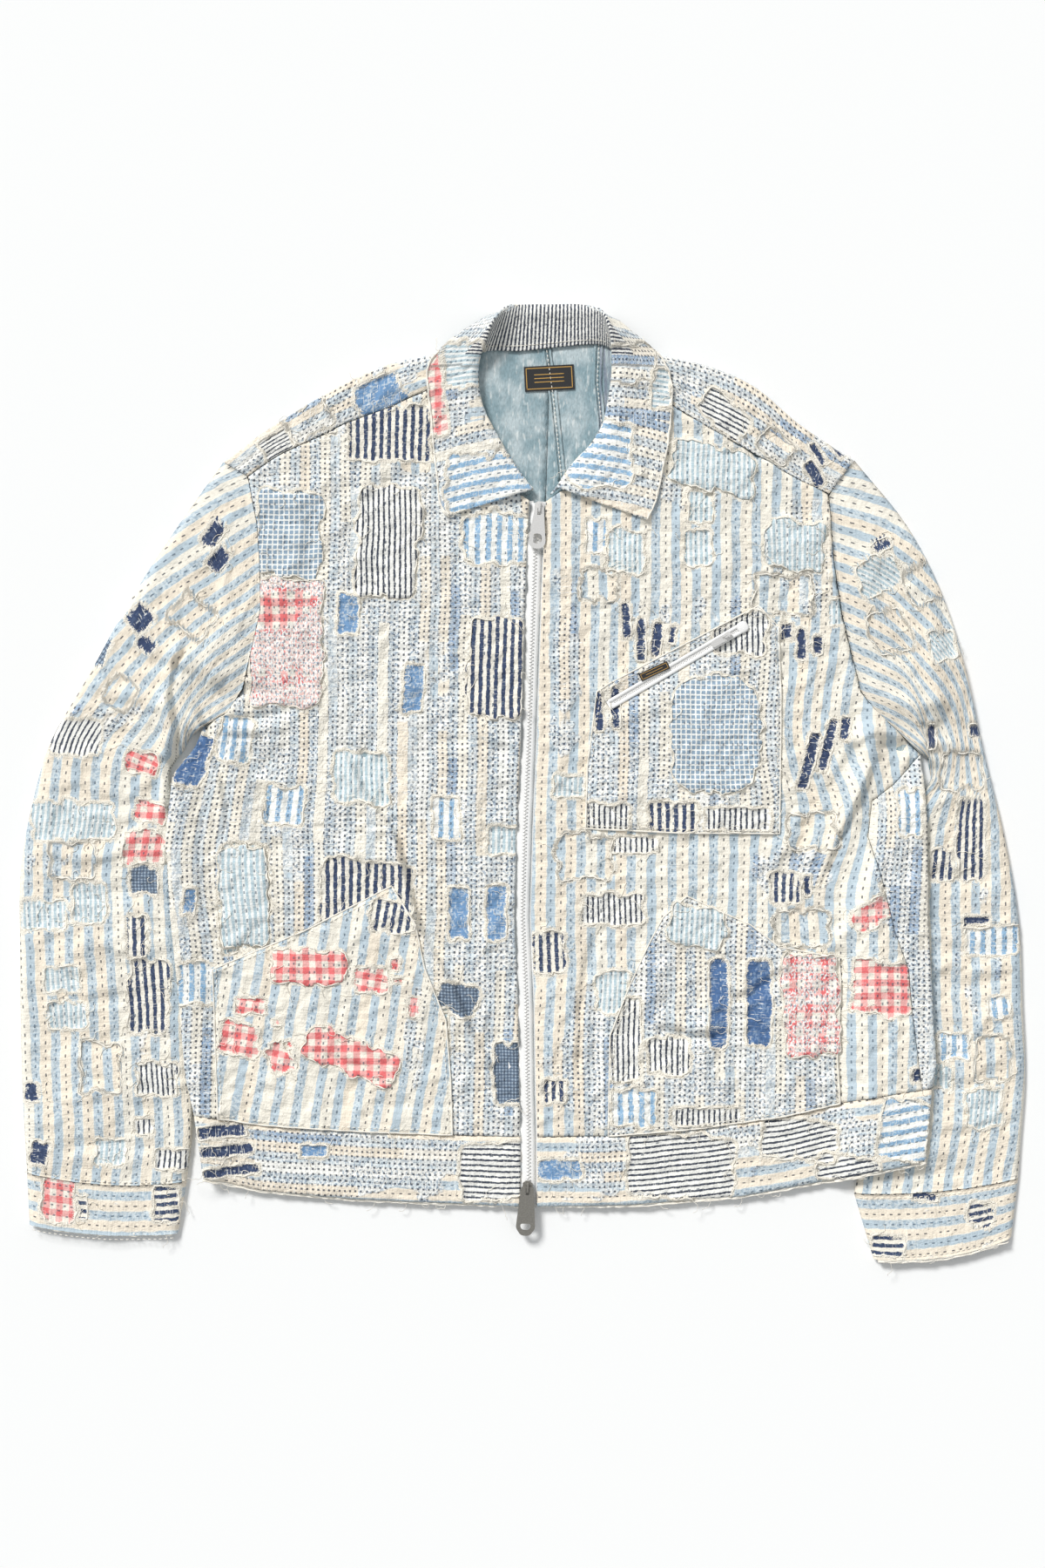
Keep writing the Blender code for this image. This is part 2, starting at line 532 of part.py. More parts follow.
def plate(name, outline, holes, low, high, look, origin=(0, 0, 0), upright=None):
    """A flat plate with holes, or one set upright by the function upright(x, y, z)."""
    loops = [outline] + holes
    points = [p for loop in loops for p in loop]
    edges, first = [], 0
    for loop in loops:
        edges += [(first + k, first + (k + 1) % len(loop)) for k in range(len(loop))]
        first += len(loop)
    found, _, faces, *_ = delaunay_2d_cdt([Vector(p) for p in points], edges, [], 0, 0.0001)
    flat = [(v.x, v.y) for v in found]
    kept = []
    for face in faces:
        middle = tuple(sum(flat[i][k] for i in face) / 3 for k in (0, 1))
        if inside(middle, outline) and not any(inside(middle, hole) for hole in holes):
            kept.append(tuple(face))
    count = len(flat)
    sides = {(f[k], f[(k + 1) % 3]) for f in kept for k in range(3)}
    rim = [(a, b, b + count, a + count) for a, b in sorted(sides) if (b, a) not in sides]
    verts = [(*p, low) for p in flat] + [(*p, high) for p in flat]
    if upright:
        verts = [upright(*v) for v in verts]
    tops = [tuple(i + count for i in f) for f in kept]
    return add_object(name, verts, tops + [tuple(reversed(f)) for f in kept] + rim, look, origin)


# ---- the pieces ------------------------------------------------------------------------------

def yoke_back(yoke):
    """The seam where a yoke meets the back, half way down from the shoulder fold."""
    return [lerp(fold, front, 0.5) for front, fold in zip(yoke["front"], yoke["fold"])]


def add_backs():
    """The two halves of the back, flat on the ground."""
    right = MIDDLE_BACK + BAND_TOP_RIGHT[1:] + SIDE_EDGE_RIGHT[-2::-1] + ARMHOLE_RIGHT[1:8]
    right += yoke_back(YOKE_RIGHT)[::-1] + NECK_BACK[1:5]
    left = MIDDLE_BACK + BAND_TOP_LEFT[1:] + SIDE_EDGE_LEFT[::-1] + ARMHOLE_LEFT[1:8]
    left += yoke_back(YOKE_LEFT)[::-1] + NECK_BACK[-2:5:-1]
    for name, outline in (("back_right", right), ("back_left", left)):
        made = Layers(outline, creases=list(lift_lines()), open_step=70.0)
        made.sheet(name, lambda p: BACK_Z + lift(p), CLOTH, CHAMBRAY)


def chest_strip(reach, past):
    """A strip along the chest zip, reach to each side and past its ends."""
    start, end = (Vector(p) for p in CHEST_ZIP)
    way = (end - start).normalized()
    over = Vector((-way.y, way.x)) * reach
    start, end = start - way * past, end + way * past
    return [tuple(p) for p in (start - over, end - over, end + over, start + over)]


def add_front(side):
    """One front with its pockets, zip, label and patches, all on one triangulation."""
    right = side == "right"
    name = "front_" + side
    if right:
        edge = beside(ZIP_LINE[:-1], -FRONT_EDGE)
        outline = edge + BAND_TOP_RIGHT[1:] + SIDE_EDGE_RIGHT[-2::-1] + ARMHOLE_RIGHT[1:7]
        outline += YOKE_RIGHT["front"][::-1] + NECK_RIGHT[-2:0:-1]
        pocket = HAND_POCKET_RIGHT
    else:
        edge = beside(ZIP_LINE[:-1], FRONT_EDGE)
        outline = edge + BAND_TOP_LEFT[1:] + SIDE_PANEL_SEAM[-2::-1] + ARMHOLE_LEFT[1:7]
        outline += YOKE_LEFT["front"][::-1] + NECK_LEFT[-2:0:-1]
        pocket = HAND_POCKET_LEFT
    patches = [(row[0], row[2], block(*row[3:7], cut=0.25), row[7])
               for row in PATCHES if row[1] == name]
    overlays = [pocket] + [patch[2] for patch in patches]
    label = block(*POCKET_LABEL)
    if not right:
        hole = chest_strip(CHEST_TAPE + GAP, CHEST_PAST + GAP)
        tape = chest_strip(CHEST_TAPE, CHEST_PAST)
        chain = chest_strip(CHEST_CHAIN, 0)
        overlays += [CHEST_POCKET, hole, tape, chain, label]
    hem_side = SIDE_EDGE_RIGHT if right else SIDE_EDGE_LEFT
    creases = list(lift_lines()) + list(fold_lines(name))
    if right:
        creases.append(spaced(beside(hem_side, SIDE_REACH), 31))
    made = Layers(outline, overlays, creases)

    def above(height):
        return lambda p: front_under(p, name) + height

    on_front = CLOTH + GAP
    on_pocket = on_front + POCKET + GAP
    made.sheet(name, above(0), CLOTH, WORN_STRIPE if right else CREAM_STRIPE)
    made.sheet("hand_pocket_" + side, above(on_front), POCKET, CREAM_STRIPE, outline=pocket)
    for patch, on_a_pocket, shape, look in patches:
        made.sheet(patch, above(on_pocket if on_a_pocket else on_front), PATCH, look, outline=shape)
    if not right:
        made.sheet("chest_pocket", above(on_front), POCKET, WORN_STRIPE, CHEST_POCKET, hole)
        made.sheet("chest_zip_tape", above(on_front), TAPE, WHITE_TAPE, outline=tape)
        made.sheet("chest_zip_chain", above(on_front + TAPE + GAP), TAPE, SILVER, outline=chain)
        made.sheet("pocket_label", above(on_pocket), LABEL, BLACK_LABEL, outline=label)


def add_side_panel():
    """The strip that wraps from the back to the front under the left arm."""
    outline = SIDE_PANEL_SEAM + [BAND_SIDE_LEFT] + SIDE_EDGE_LEFT[-2:0:-1]
    creases = list(lift_lines()) + [spaced(beside(SIDE_EDGE_LEFT, -SIDE_REACH), 31)]
    made = Layers(outline, creases=creases + list(fold_lines("front_left")))
    made.sheet("side_panel_left", lambda p: front_under(p, "front_left"), CLOTH, WORN_STRIPE)


def yoke_profile(front, fold, back):
    """Mid points from a yoke's front seam over its fold and under it to the back seam."""
    length = math.dist(front, fold)
    low, high = BACK_Z + CLOTH / 2, FRONT_Z + CLOTH / 2
    return [
        (lerp(front, fold, YOKE_SEAM / length), high),
        (lerp(front, fold, YOKE_MIDDLE), high + YOKE_RISE),
        (lerp(front, fold, 1 - FOLD_TURN / length), high),
        (lerp(front, fold, 1 - FOLD_TIP / length), (low + high) / 2),
        (lerp(front, fold, 1 - FOLD_TURN / length), low),
        (lerp(back, fold, 2 * YOKE_SEAM / length), low),
    ]


def add_yokes():
    """Both yokes: from the front seam over the shoulder fold to the back seam."""
    for name, yoke in (("yoke_right", YOKE_RIGHT), ("yoke_left", YOKE_LEFT)):
        fold = yoke["fold"]
        rows = [yoke_profile(*points) for points in zip(yoke["front"], fold, yoke_back(yoke))]
        for end, other in ((0, 1), (-1, -2)):
            way = (Vector(fold[other]) - Vector(fold[end])).normalized() * YOKE_END
            rows[end] = [((x + way.x, y + way.y), z) for (x, y), z in rows[end]]
        folded_wall(name, [[(*p, z) for p, z in row] for row in rows], CLOTH, WORN_STRIPE)


def add_sleeves():
    """Both sleeves and cuffs, as flattened tubes."""
    sides = (
        ("right", ARMHOLE_RIGHT, SLEEVE_RIGHT, CUFF_HEM_RIGHT, GAP),
        ("left", ARMHOLE_LEFT, SLEEVE_LEFT, CUFF_HEM_LEFT, -GAP),
    )
    for side, armhole, table, hem, outward in sides:
        name = "sleeve_" + side
        lower = [bowed(section) for section in table]
        first = beside(armhole, outward)
        tops = [lambda p: FRONT_Z + CLOTH]
        tops += [lambda p, n=name: SLEEVE_TOP + folds(p, n) for _ in lower]
        tube(name, [first] + lower, CREAM_STRIPE, tops)
        start = [(x, y - CUFF_GAP) for x, y in lower[-1]]
        end = bowed(hem)
        middle = [lerp(a, b, 0.5) for a, b in zip(start, end)]
        tube("cuff_" + side, [start, middle, end], CREAM_STRIPE, [lambda p: CUFF_TOP] * 3)


def add_waistband():
    """The waistband of both fronts, and that of the back under them."""
    sides = (
        ("right", BAND_TOP_RIGHT, HEM_RIGHT, -FRONT_EDGE, []),
        ("left", BAND_TOP_LEFT, HEM_LEFT, FRONT_EDGE, [BAND_SIDE_LEFT]),
    )
    for side, top, hem, offset, corner in sides:
        edge = beside(ZIP_LINE[-3:], offset)[1:]
        outline = edge + hem[1:] + corner + top[:0:-1]
        made = Layers(outline, creases=list(lift_lines()))
        made.sheet("waistband_front_" + side, lambda p: FRONT_Z - BAND_DROP + lift(p), BAND, CREAM_STRIPE)
    outline = BAND_TOP_RIGHT[::-1] + BAND_TOP_LEFT[1:] + [BAND_SIDE_LEFT] + HEM_LEFT[::-1]
    outline += HEM_RIGHT[1:]
    made = Layers(outline, creases=list(lift_lines()), open_step=60.0)
    made.sheet("waistband_back", lambda p: BACK_Z + lift(p), BAND, CREAM_STRIPE)


def add_collar():
    """The collar: a stand up to the roll, then the fall, as one folded wall."""
    rows = []
    for seam, roll, edge, seam_z, stand_z, roll_z, fall_z, edge_z in COLLAR:
        rows.append([
            (*seam, seam_z),
            (*lerp(seam, roll, 0.5), lerp(seam_z, stand_z, COLLAR_BOW)),
            (*lerp(seam, roll, STAND_TOP), stand_z),
            (*roll, roll_z),
            (*lerp(roll, edge, FALL_START), fall_z),
            (*lerp(roll, edge, 0.5), lerp(fall_z, edge_z, COLLAR_BOW)),
            (*edge, edge_z),
        ])
    folded_wall("collar", rows, CLOTH, WORN_STRIPE)


def add_zip():
    """The zip's tapes and chain between the fronts."""
    line = spaced(ZIP_LINE, 60)
    for name, sign in (("zip_tape_right", -1), ("zip_tape_left", 1)):
        outline = beside(line, sign * (CHAIN + GAP)) + beside(line, sign * TAPE_REACH)[::-1]
        plate(name, outline, [], TAPE_Z, TAPE_Z + TAPE, WHITE_TAPE)
    line[0] = lerp(line[0], line[1], CHAIN_START)
    outline = beside(line, -CHAIN) + beside(line, CHAIN)[::-1]
    plate("zip_chain", outline, [], TAPE_Z, CHAIN_TOP, SILVER)


def turned(point, middle, turn):
    """A point of a slider's own plan, turned and moved to its place."""
    c, s = math.cos(math.radians(turn)), math.sin(math.radians(turn))
    return (middle[0] + point[0] * c - point[1] * s, middle[1] + point[0] * s + point[1] * c)


def add_slider(name, where, look):
    """A slider: its top plate and the bridge that holds the pull tab."""
    middle, turn, scale, chain = where
    size = {key: value * scale for key, value in SLIDER.items()}
    low, high = chain + GAP, chain + GAP + size["plate"]
    w, h = size["width"] / 2, size["length"] / 2
    shape = [(-0.7 * w, -h), (0.7 * w, -h), (w, -0.2 * h), (w, 0.6 * h), (0.4 * w, h), (-0.4 * w, h),
             (-w, 0.6 * h), (-w, -0.2 * h)]
    body = plate(name, [turned(p, middle, turn) for p in shape], [], low, high, look)
    inner = size["window"] / 2
    outer = inner + size["post"]
    foot, under, top = high - 0.5 * scale, high + size["rise"], high + size["rise"] + size["top"]
    arch = [(-outer, foot), (-outer, top - 0.6 * scale), (-outer + 0.8 * scale, top),
            (outer - 0.8 * scale, top), (outer, top - 0.6 * scale), (outer, foot), (inner, foot),
            (inner, under), (-inner, under), (-inner, foot)]
    bar = size["bar"] / 2
    bridge = plate(name + "_bridge", arch, [], -bar, bar, look,
                   upright=lambda a, z, b: (*turned((b, a), middle, turn), z))
    join = body.modifiers.new("bridge", "BOOLEAN")
    join.operation = "UNION"
    join.object = bridge
    bridge.hide_render = True
    bridge.display_type = "WIRE"


def rounded(points, radius, steps=4):
    """A closed outline with its corners rounded."""
    curve = []
    for before, here, after in zip(points[-1:] + points[:-1], points, points[1:] + points[:1]):
        reach = [min(0.45, radius / math.dist(here, p)) for p in (before, after)]
        a, b = lerp(here, before, reach[0]), lerp(here, after, reach[1])
        curve += [lerp(lerp(a, here, k / steps), lerp(here, b, k / steps), k / steps)
                  for k in range(steps + 1)]
    return curve


def add_pull(name, where, shape, holes, look):
    """A pull tab on its hinge, lying down along the chain."""
    middle, turn, scale, chain = where
    origin = (*middle, chain + HINGE_RISE * scale)
    half = TAB["thick"] * scale / 2
    place = [[turned(p, middle, turn) for p in loop] for loop in [shape] + holes]
    plate(name, place[0], place[1:], origin[2] - half, origin[2] + half, look, origin)


def tab(width, wide, length, point, scale):
    """The outline of a pull tab that widens to its end, and the slot for the bridge."""
    bar = TAB["bar"] * scale
    w, v = width / 2, wide / 2
    shape = rounded([(-w, bar), (w, bar), (v, -length + point), (0.45 * v, -length),
                     (-0.45 * v, -length), (-v, -length + point)], 2.2 * scale)
    s, end = TAB["slot"] * scale / 2, -TAB["slot_end"] * scale
    return shape, [(-s, -bar), (-s, end), (s, end), (s, -bar)]


def add_hardware():
    """The three sliders and their pull tabs."""
    add_slider("zip_slider_top", TOP_SLIDER, SILVER)
    shape, slot = tab(7.0, 14.0, 33.0, 4.0, 1.0)
    hole = rounded([(-3.6, -21), (3.6, -21), (3.8, -29), (-3.8, -29)], 3.4)
    add_pull("zip_pull_top", TOP_SLIDER, shape, [slot, hole], SILVER)
    add_slider("zip_slider_bottom", BOTTOM_SLIDER, DARK_METAL)
    shape, slot = tab(10.0, 15.6, 38.5, 6.0, 1.0)
    hole = rounded([(-4.6, -29), (4.6, -29), (3.4, -34), (-3.4, -34)], 2.4)
    add_pull("zip_pull_bottom", BOTTOM_SLIDER, shape, [slot, hole], DARK_METAL)
    add_slider("chest_slider", CHEST_SLIDER, SILVER)
    shape, slot = tab(5.2, 5.2, 15.0, 1.5, 0.75)
    add_pull("chest_pull", CHEST_SLIDER, shape, [slot], SILVER)


def main():
    for old in list(bpy.data.objects):
        bpy.data.objects.remove(old)
    add_backs()
    for side in ("right", "left"):
        add_front(side)
    add_side_panel()
    add_yokes()
    add_sleeves()
    add_waistband()
    add_collar()
    add_zip()
    add_hardware()
    plate("neck_label", block(*NECK_LABEL), [], CLOTH + GAP, CLOTH + GAP + LABEL, BLACK_LABEL)


main()
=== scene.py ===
"""The looks of a patched boro jacket laid flat: its cloth, patches, stitches, zip and labels.

Lengths are in millimetres on the plan, +Y to the collar and +X to the wearer's left, as in the
frame, and become metres when a mesh is made. The shapes of the panels come from the frame's own
nodes: their outlines, and their tops as smooth height maps. Creases, puckers, holes and wear are
added to them here.
"""
import math

import bpy
import numpy as np
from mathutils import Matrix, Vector, kdtree
from mathutils.geometry import delaunay_2d_cdt


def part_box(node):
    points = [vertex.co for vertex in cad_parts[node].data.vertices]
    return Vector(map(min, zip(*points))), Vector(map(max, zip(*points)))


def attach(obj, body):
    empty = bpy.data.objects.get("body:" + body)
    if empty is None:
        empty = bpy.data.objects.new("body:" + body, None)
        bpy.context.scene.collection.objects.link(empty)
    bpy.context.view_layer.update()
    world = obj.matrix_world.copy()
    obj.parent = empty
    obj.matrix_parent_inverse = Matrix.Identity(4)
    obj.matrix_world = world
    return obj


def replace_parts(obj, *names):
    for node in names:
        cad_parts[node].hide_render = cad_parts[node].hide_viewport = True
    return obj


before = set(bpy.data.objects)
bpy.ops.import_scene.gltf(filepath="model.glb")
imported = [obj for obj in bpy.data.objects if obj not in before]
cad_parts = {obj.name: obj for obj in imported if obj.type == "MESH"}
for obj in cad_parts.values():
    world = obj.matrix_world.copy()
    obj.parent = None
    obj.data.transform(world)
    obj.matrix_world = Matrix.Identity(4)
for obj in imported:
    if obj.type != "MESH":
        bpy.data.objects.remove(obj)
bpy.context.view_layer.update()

MM = 0.001
STEP = 2.4  # between the points of the fine cloth
COARSE = 5.0  # and of the cloth underneath
CLOTH = 1.2  # thickness of the shown wall of a panel
GAP = 0.3
POCKET_RISE = 1.9  # from the top of a panel to the top of a pocket on it
PATCH_RISE = 1.0
HOLE_DEPTH = 0.8
FRAY_OUT = 3.0  # how far the cloth is frayed outside the edge of a hole
FRAY_IN = 1.3
FRAY_RISE = 0.7
PITCH = 16.1  # one cream and one blue stripe
ROW = PITCH / 2  # between rows of stitches
STITCH = 6.4  # from one stitch of a row to the next
FLOOR = 0.25  # no point of the cloth's own thickness lies lower
DEEPEST = -4.2  # no crease goes further down than this
POCKET_CLOTH, PATCH_CLOTH, BAND_CLOTH = 1.3, 0.6, 1.8  # thickness of these walls


# ---- numbers and noise -----------------------------------------------------------------------


def smooth(t):
    """0 below 0, 1 above 1 and an even slope between."""
    t = np.clip(t, 0.0, 1.0)
    return t * t * (3 - 2 * t)


def hashed(ix, iy, seed):
    """An even spread of numbers from 0 to 1, one for each whole-numbered place."""
    h = (ix * 374761393 + iy * 668265263 + seed * 974634777) & 0xFFFFFFFF
    h = ((h ^ (h >> 13)) * 1274126177) & 0xFFFFFFFF
    return (h ^ (h >> 16)) / 2.0**32


def noise(x, y, size, seed):
    """Smooth bumps from about -1 to 1, size apart."""
    x, y = np.asarray(x, float) / size, np.asarray(y, float) / size
    ix, iy = np.floor(x).astype(np.int64), np.floor(y).astype(np.int64)
    fx, fy = x - ix, y - iy

    def corner(a, b):
        angle = 2 * math.pi * hashed(ix + a, iy + b, seed)
        return np.cos(angle) * (fx - a) + np.sin(angle) * (fy - b)

    wx, wy = smooth(fx), smooth(fy)
    low = corner(0, 0) * (1 - wx) + corner(1, 0) * wx
    high = corner(0, 1) * (1 - wx) + corner(1, 1) * wx
    return 1.6 * (low * (1 - wy) + high * wy)


def pairs(flat):
    """A flat row of numbers as a line of points."""
    return list(zip(flat[::2], flat[1::2]))


def rotated(x, y, degrees, px=0, py=0):
    """A place turned about the origin, and then moved by px and py."""
    c, s = math.cos(math.radians(degrees)), math.sin(math.radians(degrees))
    return px + x * c - y * s, py + x * s + y * c


def length_of(line):
    """The length of a line of points."""
    return np.linalg.norm(np.diff(line, axis=0), axis=1).sum()


def unit(vectors):
    """The vectors with a length of 1."""
    return vectors / np.maximum(np.linalg.norm(vectors, axis=-1, keepdims=True), 1e-6)


def around(x, y, line, reach):
    """Whether each point lies in the box round a line, wider by reach on each side."""
    low, high = np.min(line, axis=0) - reach, np.max(line, axis=0) + reach
    return (x > low[0]) & (x < high[0]) & (y > low[1]) & (y < high[1])


def line_gap(x, y, line):
    """The distance of each point to a line, and how far along it that is, from 0 to 1."""
    best, along = np.full(np.shape(x), 1e9), np.zeros(np.shape(x))
    lengths = [math.dist(a, b) for a, b in zip(line, line[1:])]
    run = 0.0
    for (ax, ay), (bx, by), length in zip(line, line[1:], lengths):
        t = np.clip(((x - ax) * (bx - ax) + (y - ay) * (by - ay)) / length**2, 0, 1)
        gap = np.hypot(x - ax - t * (bx - ax), y - ay - t * (by - ay))
        along = np.where(gap < best, (run + t * length) / sum(lengths), along)
        best = np.minimum(best, gap)
        run += length
    return best, along


def inside(x, y, loop):
    """Whether each point lies in a closed outline."""
    odd = np.zeros(np.shape(x), bool)
    for (ax, ay), (bx, by) in zip(loop, loop[1:] + loop[:1]):
        if ay != by:
            odd ^= ((ay > y) != (by > y)) & (x < ax + (y - ay) / (by - ay) * (bx - ax))
    return odd


def spaced(line, step, closed=False):
    """The line's own points, with more between them so that none lie further apart than step."""
    ends = line[1:] + line[:1] if closed else line[1:]
    points = []
    for a, b in zip(line, ends):
        parts = max(1, math.ceil(math.dist(a, b) / step))
        points += [tuple(p + (q - p) * k / parts for p, q in zip(a, b)) for k in range(parts)]
    return points if closed else points + [tuple(line[-1])]


def beside(line, offset):
    """An open line moved sideways, to its left where offset is positive."""
    points = []
    for k, here in enumerate(line):
        a, b = line[max(0, k - 1)], line[min(len(line) - 1, k + 1)]
        length = math.dist(a, b)
        points.append((here[0] - (b[1] - a[1]) / length * offset,
                       here[1] + (b[0] - a[0]) / length * offset))
    return points


def spline(rows, count):
    """Rows of numbers made into count rows on a smooth curve through them."""
    rows = np.asarray(rows, float)
    flat = rows.reshape(len(rows), -1)
    lengths = np.r_[0, np.cumsum(np.linalg.norm(np.diff(flat, axis=0), axis=1))]
    at = np.linspace(0, lengths[-1], count)
    k = np.clip(np.searchsorted(lengths, at, side="right") - 1, 0, len(rows) - 2)
    span = lengths[k + 1] - lengths[k]
    t = ((at - lengths[k]) / span)[:, None]
    slopes = np.gradient(flat, lengths, axis=0)
    a, b = flat[k], flat[k + 1]
    p, q = slopes[k] * span[:, None], slopes[k + 1] * span[:, None]
    made = (2 * t**3 - 3 * t**2 + 1) * a + (t**3 - 2 * t**2 + t) * p
    made += (3 * t**2 - 2 * t**3) * b + (t**3 - t**2) * q
    return made.reshape(count, *rows.shape[1:])


# ---- what the frame's nodes say --------------------------------------------------------------


def welded(node):
    """A node's points in millimetres, without doubles, and its triangles."""
    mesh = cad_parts[node].data
    mesh.calc_loop_triangles()
    points = np.zeros(len(mesh.vertices) * 3)
    mesh.vertices.foreach_get("co", points)
    tris = np.zeros(len(mesh.loop_triangles) * 3, np.int32)
    mesh.loop_triangles.foreach_get("vertices", tris)
    points = points.reshape(-1, 3) / MM
    _, first, back = np.unique(np.round(points, 2), axis=0, return_index=True, return_inverse=True)
    return points[first], back.ravel()[tris].reshape(-1, 3)


def tops(node):
    """The node's points, and its triangles that face up."""
    points, tris = welded(node)
    a, b, c = points[tris[:, 0]], points[tris[:, 1]], points[tris[:, 2]]
    normal = np.cross(b - a, c - a)
    return points, tris[normal[:, 2] > 0.35 * np.linalg.norm(normal, axis=1)]


def edge_steps(tris):
    """The edges that only one triangle has, each in that triangle's direction."""
    steps = np.concatenate([tris[:, [0, 1]], tris[:, [1, 2]], tris[:, [2, 0]]])
    key = np.sort(steps, axis=1)
    _, first, count = np.unique(key, axis=0, return_index=True, return_counts=True)
    return steps[first[count == 1]]


def outlines(node):
    """The closed outlines of a node on the plan, the outer one first."""
    points, tris = tops(node)
    follow = {int(a): int(b) for a, b in edge_steps(tris)}
    loops = []
    while follow:
        start = next(iter(follow))
        loop, here = [], start
        while here in follow:
            loop.append(tuple(points[here][:2]))
            here = follow.pop(here)
        loops.append(loop)
    spread = [max(p[0] for p in loop) - min(p[0] for p in loop) for loop in loops]
    return [loop for _, loop in sorted(zip(spread, loops), key=lambda pair: -pair[0])]


class HeightMap:
    """The tops of some nodes as one smooth surface over the plan."""

    CELL = 2.0
    ROOM = 24.0

    def __init__(self, nodes, blur):
        corners = []
        for node in nodes:
            points, tris = tops(node)
            corners.append(points[tris])
        corners = np.concatenate(corners)
        self.low = corners[:, :, :2].min((0, 1)) - self.ROOM
        shape = np.ceil((corners[:, :, :2].max((0, 1)) + self.ROOM - self.low) / self.CELL)
        height, known = np.zeros(shape.astype(int)), np.zeros(shape.astype(int))
        for a, b, c in corners:
            self.fill(height, known, a, b, c)
        known = (known > 0) * 1.0
        ground = 1e-5
        mean = height.sum() / known.sum()
        total, share = self.blurred(height * known, blur), self.blurred(known, blur)
        self.height = (total + ground * mean) / (share + ground)

    def fill(self, height, known, a, b, c):
        low = np.floor((np.minimum(np.minimum(a, b), c)[:2] - self.low) / self.CELL).astype(int)
        high = np.ceil((np.maximum(np.maximum(a, b), c)[:2] - self.low) / self.CELL).astype(int) + 1
        x, y = np.meshgrid(*(self.low[k] + np.arange(low[k], high[k]) * self.CELL for k in (0, 1)),
                           indexing="ij")
        area = (b[0] - a[0]) * (c[1] - a[1]) - (b[1] - a[1]) * (c[0] - a[0])
        s = ((x - a[0]) * (c[1] - a[1]) - (y - a[1]) * (c[0] - a[0])) / area
        t = ((b[0] - a[0]) * (y - a[1]) - (b[1] - a[1]) * (x - a[0])) / area
        hit = (s > -0.01) & (t > -0.01) & (s + t < 1.01)
        z = a[2] + s * (b[2] - a[2]) + t * (c[2] - a[2])
        part = (slice(low[0], high[0]), slice(low[1], high[1]))
        height[part] = np.where(hit, np.maximum(height[part], z), height[part])
        known[part] += hit

    def blurred(self, grid, blur):
        reach = int(3 * blur / self.CELL)
        for axis in (0, 1):
            total, weights = np.zeros_like(grid), 0.0
            for k in range(-reach, reach + 1):
                weight = math.exp(-0.5 * (k * self.CELL / blur) ** 2)
                total += weight * np.roll(grid, k, axis)
                weights += weight
            grid = total / weights
        return grid

    def __call__(self, x, y):
        gx = np.clip((x - self.low[0]) / self.CELL, 0, self.height.shape[0] - 1.001)
        gy = np.clip((y - self.low[1]) / self.CELL, 0, self.height.shape[1] - 1.001)
        ix, iy = gx.astype(int), gy.astype(int)
        fx, fy = gx - ix, gy - iy
        h = self.height
        low = h[ix, iy] * (1 - fx) + h[ix + 1, iy] * fx
        return low * (1 - fy) + (h[ix, iy + 1] * (1 - fx) + h[ix + 1, iy + 1] * fx) * fy


# ---- creases and puckers ---------------------------------------------------------------------

